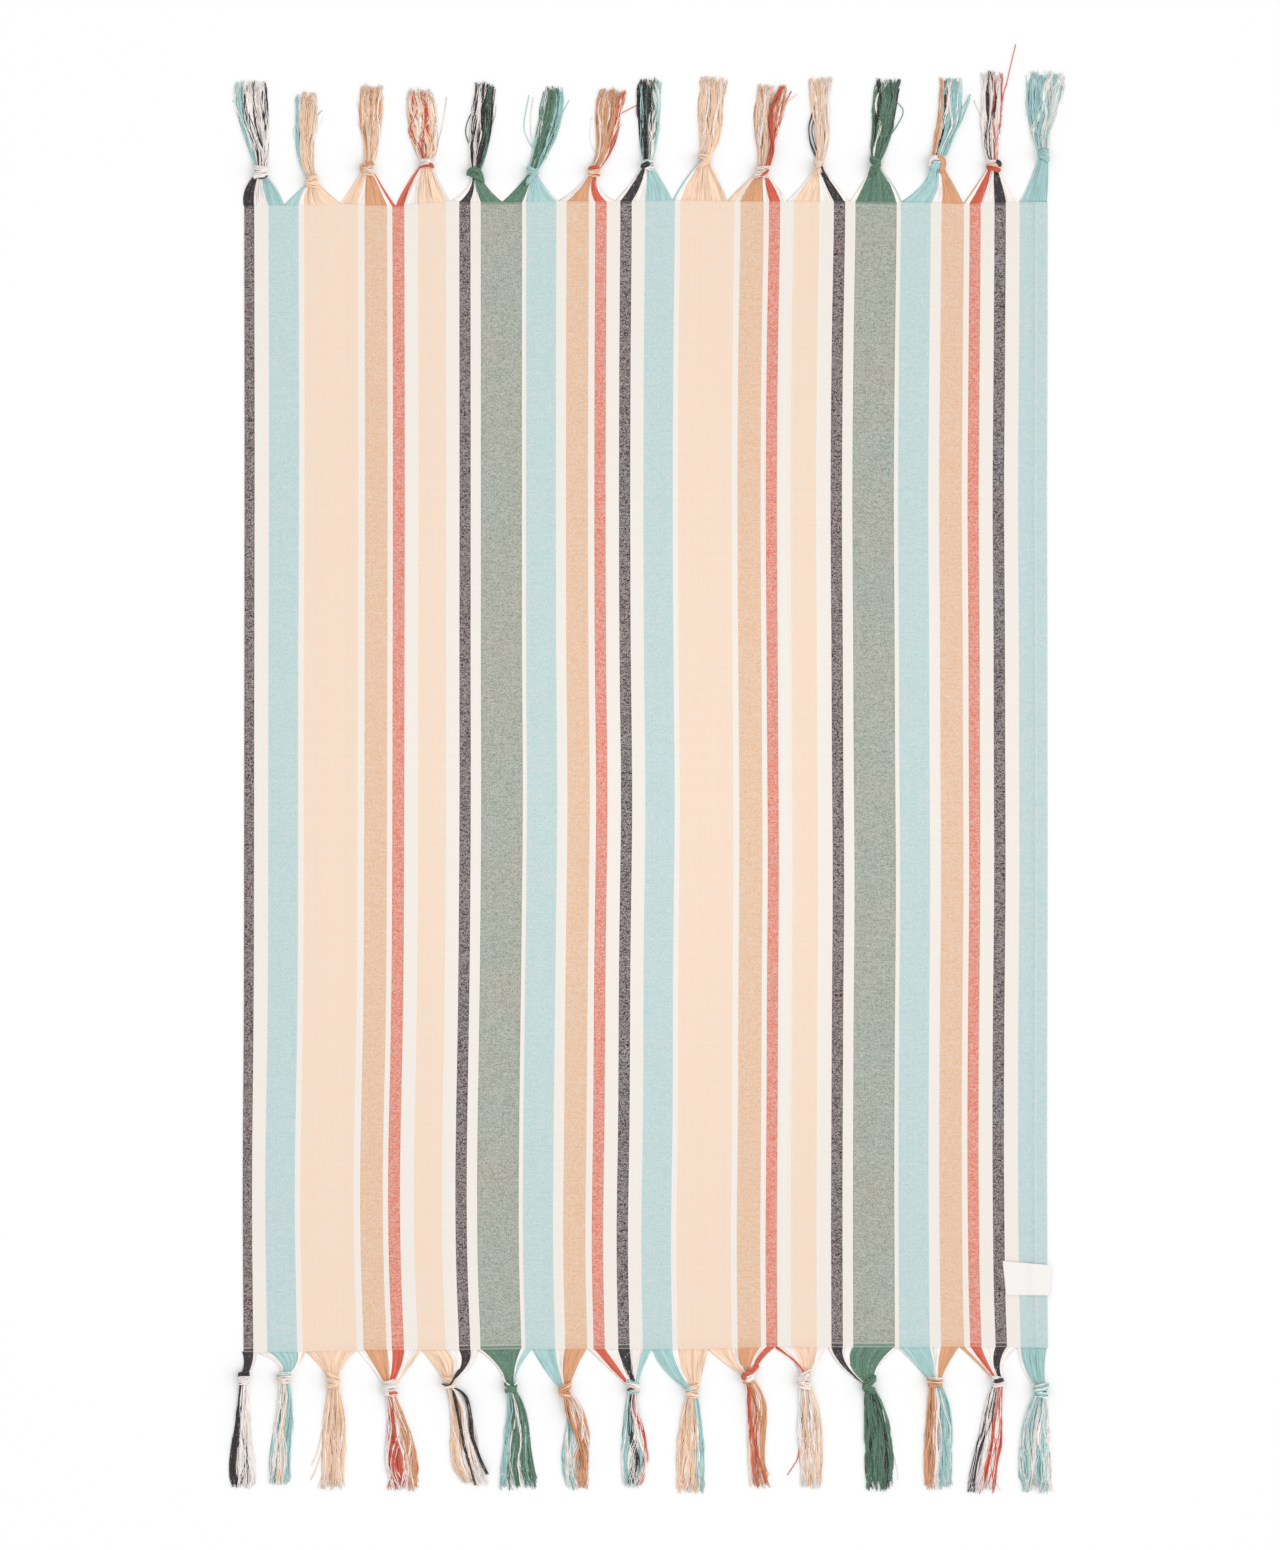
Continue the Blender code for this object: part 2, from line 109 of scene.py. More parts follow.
# How far the stripes of the lying cloth stand from an even repeat: place across and shift, mm.
LAY = [
    (-482, 0.0), (-430, 0.2), (-417, -0.5), (-409, -0.1), (-395, 1.1), (-341, 1.0), (-312, 1.1),
    (-274, 1.4), (-242, 3.0), (-227, 2.1), (-195, 1.9), (-150, 1.9), (-108, 1.5), (-97, 1.0),
    (-70, 1.2), (-20, 1.3), (33, 0.0), (40, -0.8), (100, 0.2), (141, 0.3), (168, -0.1),
    (207, -1.8), (223, -1.2), (262, -1.1), (300, -0.9), (340, -0.4), (353, 0.1), (380, 0.2),
    (409, -0.2), (430, -0.1), (447, 0.4), (482, 0.0),
]


class Pull(NamedTuple):
    """One soft sideways pull of the lying cloth: centre, reach and shift, in millimetres."""

    x: float
    y: float
    wide: float
    tall: float
    shift: float


PULLS = [
    Pull(-380, 350, 240, 400, 1.5), Pull(-330, -500, 220, 170, -4.4), Pull(-40, -30, 160, 130, 2.0),
    Pull(0, -570, 170, 120, -2.6), Pull(180, 690, 230, 130, 2.8), Pull(200, 330, 240, 150, -1.2),
    Pull(250, -140, 220, 130, 1.3), Pull(440, 330, 120, 120, -0.8), Pull(400, -480, 150, 120, -0.9),
    Pull(-414, 130, 50, 170, -0.8), Pull(-150, -350, 110, 130, -0.9), Pull(30, -190, 90, 190, -0.6),
    Pull(415, -330, 80, 170, -1.1), Pull(-250, -690, 120, 60, 1.8), Pull(420, -700, 70, 60, 2.4),
]

# The end edges, where two tassels part: place across and distance from the middle line, mm.
TOP_NOTCHES = [
    (-482, 685), (-434, 685), (-366, 687), (-300, 684), (-234, 690), (-172, 689), (-105, 690),
    (-37, 690), (32, 691), (98, 690), (169, 690), (245, 690), (307, 689), (381, 687), (448, 689),
    (481, 689),
]
BOTTOM_NOTCHES = [
    (-484, 692), (-466, 692), (-408, 691), (-346, 689), (-269, 689), (-202, 689), (-136, 688),
    (-69, 688), (8, 688), (75, 688), (155, 685), (219, 686), (302, 686), (376, 685), (446, 686),
    (481, 686),
]


class End(Enum):
    """The two ends of the cloth, by the sign of their place along Y."""

    TOP = 1
    BOTTOM = -1

    @property
    def notches(self) -> list:
        """The end's edge, as a list of (x, out)."""
        return TOP_NOTCHES if self is End.TOP else BOTTOM_NOTCHES


# Room that a web's yarns of each dye take at the knot: the pale ones slip under the others.
WEB_ROOM = {
    Dye.BLACK: 1.6, Dye.ECRU: 0.5, Dye.AQUA: 1.2, Dye.PEACH: 1.0, Dye.TAN: 1.2, Dye.CORAL: 1.7,
    Dye.GREEN: 1.3,
}


class Row(NamedTuple):
    """One tassel in millimetres, read from its own picture.

    `slot` is its material in the CAD. `knot_x` and `knot_out` are the knot's middle, and `slant`
    is how its wraps lean, in degrees. `web` is the gathered yarn's left and right side halfway
    to the knot. `left` and `right` are the tail's sides at 0.3, 0.65 and all of its length, and
    `tip_out` is its end. `wraps` and `tail` name the yarns by the letters of Dye: the wraps from
    the cloth outwards, the tail's locks from left to right. `slim` names the dyes that go narrow
    through the web.
    """

    slot: str
    knot_x: float
    knot_out: float
    knot_wide: float
    knot_long: float
    slant: float
    web: tuple
    left: tuple
    right: tuple
    tip_out: float
    wraps: str
    tail: str
    slim: str = ""


TOP_ROWS = [
    Row("ecru", -462, 724, 19, 16, 5, (-481, -442), (-477, -488, -492), (-453, -454, -456), 831,
        "EEEEEEEEEE", "AAAEEKEEEEEEKEEEKE"),
    Row("peach", -400, 713, 16, 16, -5, (-420, -381), (-417, -419, -418), (-399, -396, -398), 818,
        "PPPPPPPPPP", "AEPPPPPPPPPEPP", "A"),
    Row("tan", -333, 728, 17, 16, -15, (-352, -315), (-338, -343, -342), (-321, -317, -318), 827,
        "PPPPEPPTTT", "PPTPPPEPTPTPTPE", "C"),
    Row("coral", -263, 735, 17, 11, 6, (-286, -247), (-280, -285, -286), (-250, -252, -255), 822,
        "CCEEEEEE", "EPPCCPEPCCPPEPPE", "C"),
    Row("black", -204, 722, 15, 13, -20, (-214, -190), (-211, -209, -204), (-190, -185, -183), 829,
        "GGGGGGGG", "KEKEKEKKEKKGKKGK", "K"),
    Row("green", -136, 722, 16, 16, 45, (-155, -120), (-135, -129, -122), (-115, -103, -101), 824,
        "AAAAAAAAAA", "AGGGEGGGGGGAGAA"),
    Row("tan", -62, 725, 16, 13, -7, (-81, -56), (-58, -59, -52), (-40, -32, -26), 823,
        "PCPPPPCCC", "TTETTPTTETTCTECT"),
    Row("aqua", 2, 733, 16, 13, -8, (-18, 21), (-7, -9, -10), (13, 17, 18), 834,
        "EEEAAAEEA", "AKKKKKGKEKEGEAA"),
    Row("peach", 70, 738, 17, 16, 30, (46, 88), (66, 63, 66), (88, 92, 96), 836,
        "PPPPPPPPPP", "PPPPEPPPPPPEPPP"),
    Row("coral", 139, 724, 18, 14, 0, (114, 158), (134, 130, 135), (154, 162, 169), 827,
        "EEEEPEEPEE", "PTEPTEPEPPPTCTTE"),
    Row("peach", 207, 730, 14, 16, 20, (188, 228), (204, 200, 198), (219, 219, 223), 835,
        "PPEPPEPPEP", "PEPPPPEPPPEPEEP"),
    Row("green", 275, 733, 15, 18, 40, (259, 296), (271, 273, 277), (292, 299, 306), 834,
        "GGGGGGGGGGG", "GKGEGGGKGGGGKG"),
    Row("tan", 349, 735, 20, 18, 15, (333, 369), (347, 351, 354), (368, 378, 376), 834,
        "AAAAEEEEEEE", "TTTEKEAAEAAAAEAA"),
    Row("ecru", 417, 732, 18, 14, -12, (397, 434), (404, 403, 403), (425, 426, 427), 842,
        "CCCPPPEE", "EEEKEKEEEECEEEC"),
    Row("aqua", 477, 745, 15, 14, -20, (462, 482), (463, 459, 460), (486, 495, 502), 842,
        "AAAAAAAAA", "AAAAEAAAEAAEAEE"),
]
BOTTOM_ROWS = [
    Row("black", -482, 722, 15, 16, -5, (-482, -470), (-490, -496, -498), (-476, -472, -470), 853,
        "KKKEEEEEE", "KKKEKEEEEEEE"),
    Row("aqua", -434, 722, 18, 14, -3, (-441, -416), (-442, -449, -452), (-425, -427, -428), 848,
        "EAAEPEEPEE", "EAEEGEEPEPAAAA"),
    Row("peach", -375, 726, 17, 19, 25, (-391, -362), (-385, -388, -390), (-362, -362, -362), 853,
        "PPPPPPPPPPP", "PPPEPPPPPPPPEP"),
    Row("coral", -308, 734, 17, 20, -10, (-328, -285), (-310, -312, -308), (-290, -277, -274), 855,
        "EEEEEEEEEEEE", "ECECCECCEETTETTT"),
    Row("peach", -236, 727, 16, 14, 15, (-254, -209), (-234, -233, -220), (-211, -202, -190), 850,
        "PPPPPPPEE", "PPEPPPPEEEEEEE", "K"),
    Row("green", -162, 733, 16, 13, 10, (-177, -152), (-166, -170, -172), (-143, -138, -128), 853,
        "GGGGGGGG", "AAAGEAGGGEGAGGGG"),
    Row("tan", -97, 737, 17, 16, -25, (-121, -83), (-94, -99, -94), (-72, -69, -68), 853,
        "TTPTTTTTPT", "EAAAEETTTETTTE"),
    Row("aqua", -15, 733, 18, 16, 20, (-45, -3), (-26, -28, -26), (-7, 0, -6), 850,
        "AEEEPEKEAA", "EAAAAKEKEEAECCE"),
    Row("peach", 56, 738, 17, 16, -20, (22, 69), (43, 39, 38), (66, 69, 68), 857,
        "PPEPPPEPPP", "PPPPPEPPPPEAAA"),
    Row("coral", 123, 721, 16, 15, 5, (94, 138), (122, 123, 128), (144, 143, 148), 851,
        "PEEEEEEPT", "EPCECTTETTETTT"),
    Row("peach", 190, 725, 18, 22, -30, (178, 207), (184, 183, 188), (208, 211, 211), 852,
        "EEEEPEEEEPEE", "EEPEEPEPEPPEPP", "C"),
    Row("green", 268, 731, 18, 18, -35, (234, 280), (263, 264, 265), (288, 295, 296), 855,
        "GGGGGGGGGGG", "GKGGGGKGGGGKGG", "K"),
    Row("tan", 347, 727, 20, 12, 4, (323, 363), (338, 336, 336), (365, 366, 366), 853,
        "ETTETTTT", "TTTTTEEEAAAAEAA"),
    Row("coral", 423, 726, 18, 13, 10, (398, 429), (405, 397, 386), (427, 425, 417), 857,
        "EEEEEEEE", "KEEKEKEEECECEECC"),
    Row("aqua", 474, 737, 19, 17, -15, (453, 478), (455, 450, 450), (483, 485, 486), 858,
        "EAAEAAEAAE", "AAEEAEAEAAEAEE"),
]


class Loose(NamedTuple):
    """A thread or lock that goes its own way: its tassel, dye and path as (x, out), in mm.

    A lock has more yarns than one, twisted together in a bundle of the given radius.
    """

    end: End
    number: int
    dye: Dye
    path: tuple
    yarns: int = 1
    radius: float = 0.0
    lift: float = 0.0


LOOSE = [
    Loose(End.TOP, 1, Dye.AQUA, ((-482, 790), (-488, 802), (-492, 808), (-496, 810))),
    Loose(End.TOP, 2, Dye.AQUA, ((-404, 765), (-398, 781), (-393, 793), (-388, 799))),
    Loose(End.TOP, 4, Dye.ECRU, ((-260, 739), (-252, 745), (-248, 763), (-242, 790), (-239, 815))),
    Loose(End.TOP, 5, Dye.BLACK,
          ((-203, 736), (-207, 749), (-214, 763), (-216, 775), (-212, 790), (-204, 802))),
    Loose(End.TOP, 6, Dye.AQUA, ((-134, 735), (-134, 749), (-141, 763), (-146, 781), (-140, 817))),
    Loose(End.TOP, 6, Dye.ECRU, ((-133, 735), (-132, 744), (-136, 755), (-138, 787), (-135, 814))),
    Loose(End.TOP, 6, Dye.AQUA, ((-110, 765), (-106, 785), (-101, 793), (-92, 811))),
    Loose(End.TOP, 7, Dye.ECRU, ((-60, 732), (-57, 739), (-66, 763), (-65, 790))),
    Loose(End.TOP, 7, Dye.CORAL, ((-40, 770), (-34, 790), (-22, 799), (-8, 806))),
    Loose(End.TOP, 10, Dye.PEACH, ((158, 775), (165, 797), (170, 808), (182, 818))),
    Loose(End.TOP, 10, Dye.CORAL, ((160, 780), (165, 802), (170, 812), (175, 822))),
    Loose(End.TOP, 10, Dye.CORAL,
          ((148, 732), (152, 753), (150.5, 782), (152, 800), (159, 818), (165, 828)),
          yarns=16, radius=2.7, lift=1.6),
    Loose(End.TOP, 11, Dye.BLACK,
          ((208, 736), (205, 742), (198, 760), (196, 778), (199, 792), (203, 806)),
          yarns=3, radius=0.7, lift=0.8),
    Loose(End.TOP, 11, Dye.BLACK,
          ((209, 736), (208, 744), (203, 760), (200, 776), (203, 790), (208, 800)),
          yarns=2, radius=0.6, lift=1.6),
    Loose(End.TOP, 12, Dye.GREEN,
          ((283, 745), (290, 763), (302, 781), (309, 797), (302, 808), (296, 810))),
    Loose(End.TOP, 13, Dye.AQUA, ((360, 760), (370, 787), (380, 802), (390, 817))),
    Loose(End.TOP, 13, Dye.AQUA, ((360, 745), (369, 769), (378, 787), (386, 805), (390, 818)),
          yarns=6, radius=1.6, lift=0.4),
    Loose(End.TOP, 14, Dye.CORAL,
          ((424, 770), (426, 799), (429, 817), (434, 835), (438, 853), (444, 878))),
    Loose(End.TOP, 14, Dye.ECRU, ((408, 750), (405, 775), (403, 787), (394, 811))),
    Loose(End.BOTTOM, 1, Dye.BLACK, ((-492, 780), (-486, 809), (-479, 830), (-478, 845), (-480, 853))),
    Loose(End.BOTTOM, 3, Dye.PEACH, ((-384, 765), (-388, 785), (-394, 811), (-401, 827))),
    Loose(End.BOTTOM, 3, Dye.PEACH, ((-384, 780), (-387, 803), (-395, 830), (-402, 845))),
    Loose(End.BOTTOM, 5, Dye.BLACK,
          ((-231, 737), (-227, 755), (-222, 779), (-217.5, 803), (-213, 821), (-208, 839), (-204, 851)),
          yarns=9, radius=1.9, lift=1.6),
    Loose(End.BOTTOM, 5, Dye.BLACK,
          ((-229, 734), (-222, 738), (-215, 747), (-210, 767), (-208, 791), (-202, 809), (-197, 823),
           (-190, 838)),
          yarns=11, radius=2.4, lift=1.0),
    Loose(End.BOTTOM, 6, Dye.GREEN, ((-158, 780), (-159, 809), (-161, 823), (-160, 839), (-152, 852))),
    Loose(End.BOTTOM, 7, Dye.TAN, ((-96, 743), (-93, 763), (-85, 785), (-76, 809), (-71, 833)),
          yarns=16, radius=3.4, lift=1.2),
    Loose(End.BOTTOM, 10, Dye.CORAL,
          ((124, 733), (125, 755), (128, 788), (134, 812), (140, 832), (146, 848)),
          yarns=6, radius=1.3, lift=2.2),
    Loose(End.BOTTOM, 11, Dye.CORAL, ((187, 745), (186, 773), (183, 815), (177, 828), (170, 839))),
    Loose(End.BOTTOM, 11, Dye.BLACK, ((187, 770), (187, 797), (194, 818), (188, 835))),
    Loose(End.BOTTOM, 12, Dye.ECRU, ((284, 760), (290, 785), (301, 827), (303, 845))),
    Loose(End.BOTTOM, 14, Dye.ECRU, ((412, 800), (415, 833), (422, 850), (426, 858))),
]


class Turn(NamedTuple):
    """A flat turn of yarns over a knot's face, in mm.

    `wide` is half the width of its band. `path` is (x, out) from the knot's middle.
    """

    end: End
    number: int
    dye: Dye
    wide: float
    path: tuple


TURNS = [
    Turn(End.TOP, 1, Dye.BLACK, 0.9, ((-5, -6.6), (0, -7.6), (5, -7.2), (8.6, -4))),
    Turn(End.TOP, 3, Dye.TAN, 1.4, ((-7.5, -4), (-8.6, 0), (-7, 4.5), (-2, 6.5))),
    Turn(End.TOP, 4, Dye.CORAL, 1.2, ((3, -1), (7, -2.5), (8, -6))),
    Turn(End.TOP, 5, Dye.GREEN, 2.6, ((-9, -2), (-8, 3), (-2, 5.5), (4, 3), (7, -3), (9, -10))),
    Turn(End.TOP, 8, Dye.BLACK, 3.0, ((-7, -4), (-4.5, -2), (-1, 0), (3, 2))),
    Turn(End.TOP, 10, Dye.CORAL, 1.4, ((-3, -7), (1, -4), (5, -1), (8.5, 2.5))),
    Turn(End.TOP, 11, Dye.BLACK, 1.1, ((12, -14), (7, -7), (5, -3), (3.5, 1))),
    Turn(End.TOP, 12, Dye.ECRU, 0.5, ((8.5, -1), (11, 1), (10, 4))),
    Turn(End.TOP, 13, Dye.AQUA, 3.6, ((-9, -24), (-5, -12), (-2.5, -4), (1, 1.5))),
    Turn(End.TOP, 13, Dye.ECRU, 1.8, ((1, 7), (-6, 5), (-9, 1), (-9, -4))),
    Turn(End.TOP, 13, Dye.TAN, 2.8, ((-1, 7), (5, 6), (8.5, 1), (7, -6), (4, -12))),
    Turn(End.TOP, 14, Dye.BLACK, 2.2, ((2, 5), (6, 4), (7.5, 1.5), (7, -1.5))),
    Turn(End.BOTTOM, 4, Dye.CORAL, 1.6, ((0, 7), (3, 5.5), (7, 5), (10, 6.5))),
    Turn(End.BOTTOM, 5, Dye.BLACK, 0.9, ((13, -16), (8, -9), (5, -2.5), (2, 1.5), (-2, 3.2), (-8, 1.6))),
    Turn(End.BOTTOM, 6, Dye.ECRU, 0.7, ((-11.4, -14.4), (-7.5, -9), (-4.4, -5), (0, -3))),
    Turn(End.BOTTOM, 6, Dye.ECRU, 0.7, ((8.6, -8.4), (7, -5.5), (4, -3))),
    Turn(End.BOTTOM, 9, Dye.AQUA, 2.2, ((-13, -13), (-7, -7), (-2, -2))),
    Turn(End.BOTTOM, 10, Dye.CORAL, 3.0, ((12, -14), (6, -9), (1, -6), (-4, -4), (-6, 0), (-2, 1.5))),
    Turn(End.BOTTOM, 10, Dye.ECRU, 1.5, ((-3, 4), (2, 2.5), (7, -1.5))),
    Turn(End.BOTTOM, 11, Dye.CORAL, 0.8, ((-34, -39), (-17, -28), (-7, -19), (0, -9), (2, -5))),
    Turn(End.BOTTOM, 14, Dye.BLACK, 2.3, ((-5.5, -0.5), (0, -1.5), (6.5, -3))),
]


MAX_ALBEDO = 0.97


def linear(colour: tuple) -> tuple:
    """Turn an sRGB colour into the albedo that renders as it.

    Each part c is c / 12.92 up to 0.04045 and ((c + 0.055) / 1.055) ** 2.4 past it, divided by
    the light that the lying cloth gets.

    Args:
        colour: red, green and blue in bytes.

    Returns:
        Linear red, green and blue, and an alpha of 1.
    """
    part = np.array(colour, float) / 255.0
    value = np.where(part <= 0.04045, part / 12.92, ((part + 0.055) / 1.055) ** 2.4)
    return tuple(float(v) for v in np.clip(value / ILLUMINATION, 0.0, MAX_ALBEDO)) + (1.0,)


def table_at(place: np.ndarray, table: Sequence) -> np.ndarray:
    """Value at each place of the straight lines through a table of (place, value)."""
    return np.interp(place, *zip(*table))


def smooth_step(value: np.ndarray) -> np.ndarray:
    """The value v, clipped to 0 to 1, eased at both ends: v^2 * (3 - 2v)."""
    value = np.clip(value, 0.0, 1.0)
    return value**2 * (3.0 - 2.0 * value)


# ---------------------------------------------------------------------------------------------
# The warp
# ---------------------------------------------------------------------------------------------


def stripe_starts() -> np.ndarray:
    """Where each stripe of the repeat starts, and last where the repeat ends, in mm."""
    return np.concatenate([[0.0], np.cumsum([stripe.wide for stripe in REPEAT])])


def dyed(letters: str, rng: np.random.Generator) -> np.ndarray:
    """Pick a warp yarn of each letter's dye.

    Args:
        letters: letters of Dye, one for each yarn.
        rng: the source of the picks.

    Returns:
        (n,) places in the warp, in mm, each inside a stripe of its dye.
    """
    starts = stripe_starts()
    places = []
    for letter in letters:
        choices = [n for n, stripe in enumerate(REPEAT) if stripe.dye is Dye(letter)]
        pick = choices[int(rng.integers(len(choices)))]
        inside = rng.uniform(0.12, 0.88) * REPEAT[pick].wide
        places.append(starts[pick] + inside - FIRST_STRIPE + (starts[-1] if pick == 0 else 0.0))
    return np.array(places)


def dye_at(warp: np.ndarray) -> np.ndarray:
    """Look up the dye at places in the warp.

    Args:
        warp: the places, in mm from the left edge.

    Returns:
        The dyes' numbers in DYES.
    """
    starts = stripe_starts()
    stripe = np.searchsorted(starts, (warp + FIRST_STRIPE) % starts[-1], side="right") - 1
    return np.array([DYES.index(stripe.dye) for stripe in REPEAT])[stripe]


# ---------------------------------------------------------------------------------------------
# Meshes
# ---------------------------------------------------------------------------------------------


def add_mesh(
    name: str, points: np.ndarray, quads: np.ndarray, maps: dict, material: bpy.types.Material
) -> bpy.types.Object:
    """Make a smooth quad mesh object from whole arrays.

    Args:
        name: the piece's name.
        points: (n, 3) places in metres.
        quads: (m, 4) vertex numbers, counter-clockwise seen from outside.
        maps: UV maps by name, each (m, 4, 2).
        material: the piece's finish.

    Returns:
        The object, linked to the scene and riding on the root body.
    """
    mesh = bpy.data.meshes.new(name)
    mesh.vertices.add(len(points))
    mesh.vertices.foreach_set("co", points.astype(np.float32).ravel())
    mesh.loops.add(quads.size)
    mesh.loops.foreach_set("vertex_index", quads.astype(np.int32).ravel())
    mesh.polygons.add(len(quads))
    mesh.polygons.foreach_set("loop_start", np.arange(0, quads.size, 4, dtype=np.int32))
    mesh.polygons.foreach_set("use_smooth", np.ones(len(quads), bool))
    for title, values in maps.items():
        layer = mesh.uv_layers.new(name=title)
        layer.uv.foreach_set("vector", values.astype(np.float32).ravel())
    mesh.materials.append(material)
    mesh.update(calc_edges=True)
    item = bpy.data.objects.new(name, mesh)
    bpy.context.scene.collection.objects.link(item)
    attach(item, "root")
    return item


def grid_quads(rows: int, columns: int) -> np.ndarray:
    """Quads of a grid of vertices numbered row by row, facing up for rows along +Y."""
    first = (np.arange(rows - 1)[:, None] * columns + np.arange(columns - 1)[None, :]).ravel()
    return np.stack([first, first + 1, first + 1 + columns, first + columns], axis=1)


def corner_values(values: np.ndarray) -> np.ndarray:
    """Values on a grid of vertices (rows, columns, k) as values at the corners of its quads."""
    parts = [values[:-1, :-1], values[:-1, 1:], values[1:, 1:], values[1:, :-1]]
    return np.stack(parts, axis=2).reshape(-1, 4, values.shape[-1])


def bake_layout(rows: int, columns: int, band: int) -> np.ndarray:
    """Bake map of a closed sheet: the underside, the upper side and the band, side by side.

    Args:
        rows: rows of vertices on each side.
        columns: columns of vertices on each side.
        band: quads of the band round the border.

    Returns:
        (quads, 4, 2) UVs, the underside's first and the band's last.
    """
    margin, side_size, band_left, band_right = 0.01, (0.46, 0.97), 0.965, 0.99
    u, v = np.meshgrid(np.linspace(0, 1, columns), np.linspace(0, 1, rows))
    side = corner_values(np.stack([u, v], axis=2))
    low = side[:, ::-1] * side_size + (margin, margin)
    high = side * side_size + (0.49, margin)
    here = np.arange(band) / band
    ahead = here + 1 / band
    lefts, rights = np.full(band, band_left), np.full(band, band_right)
    corners = [(lefts, here), (lefts, ahead), (rights, ahead), (rights, here)]
    edge = np.stack([np.stack(pair, 1) for pair in corners], axis=1)
    return np.concatenate([low, high, edge * (1.0, side_size[1]) + (0.0, margin)])


def closed_sheet(
    name: str, low: np.ndarray, high: np.ndarray, maps: dict, material: bpy.types.Material
) -> bpy.types.Object:
    """Make a thin closed sheet from two grids of points, joined round their border.

    The surface is the pair of parametric grids low(u, v) and high(u, v), with a band of quads
    between the two borders.

    Args:
        name: the piece's name.
        low: (rows, columns, 3) underside in metres, rows along +Y and columns along +X.
        high: the upper side, the same shape.
        maps: UV maps by name, each (rows, columns, 2); both sides and the band share them.
        material: the piece's finish.

    Returns:
        The sheet's object.
    """
    rows, columns = low.shape[:2]
    count = rows * columns
    top = grid_quads(rows, columns) + count
    bottom = grid_quads(rows, columns)[:, ::-1]
    numbers = np.arange(count).reshape(rows, columns)
    rim = np.concatenate([numbers[0, :-1], numbers[:-1, -1], numbers[-1, :0:-1], numbers[:0:-1, 0]])
    ahead = np.roll(rim, -1)
    band = np.stack([rim, ahead, ahead + count, rim + count], axis=1)
    points = np.concatenate([low.reshape(-1, 3), high.reshape(-1, 3)])
    quads = np.concatenate([bottom, top, band])
    corners = {title: values.reshape(-1, 2)[quads % count] for title, values in maps.items()}
    corners["OFBake"] = bake_layout(rows, columns, len(band))
    return add_mesh(name, points, quads, corners, material)


def spline(points: np.ndarray, count: int) -> np.ndarray:
    """Catmull-Rom curve: each span blends its four neighbours by cubics.

    Args:
        points: (k, d) the places that the curve passes through.
        count: how many places to return.

    Returns:
        (count, d) places, even in the curve's parameter.
    """
    padded = np.concatenate([[2 * points[0] - points[1]], points, [2 * points[-1] - points[-2]]])
    place = np.linspace(0, len(points) - 1, count)
    span = np.minimum(place.astype(int), len(points) - 2)
    t = (place - span)[:, None]
    a, b, c, d = (padded[span + k] for k in range(4))
    square, cube = 2 * a - 5 * b + 4 * c - d, 3 * b - a - 3 * c + d
    return 0.5 * (2 * b + (c - a) * t + square * t**2 + cube * t**3)


class Bundle(NamedTuple):
    """Yarns with the same count of points along them, in millimetres.

    `paths` is (n, m, 3) centre lines, as (x, out, z) until they face their end. `wide` and
    `high` are half sizes, broadcast to (n, m). `warp` is (n,) places in the warp, which give
    each yarn its dye. The width is square to `square_to`. A closed path is a ring.
    """

    paths: np.ndarray
    wide: np.ndarray
    high: np.ndarray
    warp: np.ndarray
    square_to: tuple = (0.0, 0.0, 1.0)
    closed: bool = False

    def facing(self, end: End) -> "Bundle":
        """The bundle at an end of the cloth, its (x, out, z) turned into (x, y, z)."""
        return self._replace(paths=self.paths * np.array([1.0, end.value, 1.0]))


class Swept(NamedTuple):
    """A bundle's tubes: points (n, m, sides, 3), length up to each point, warp places, ring."""

    points: np.ndarray
    along: np.ndarray
    warp: np.ndarray
    closed: bool


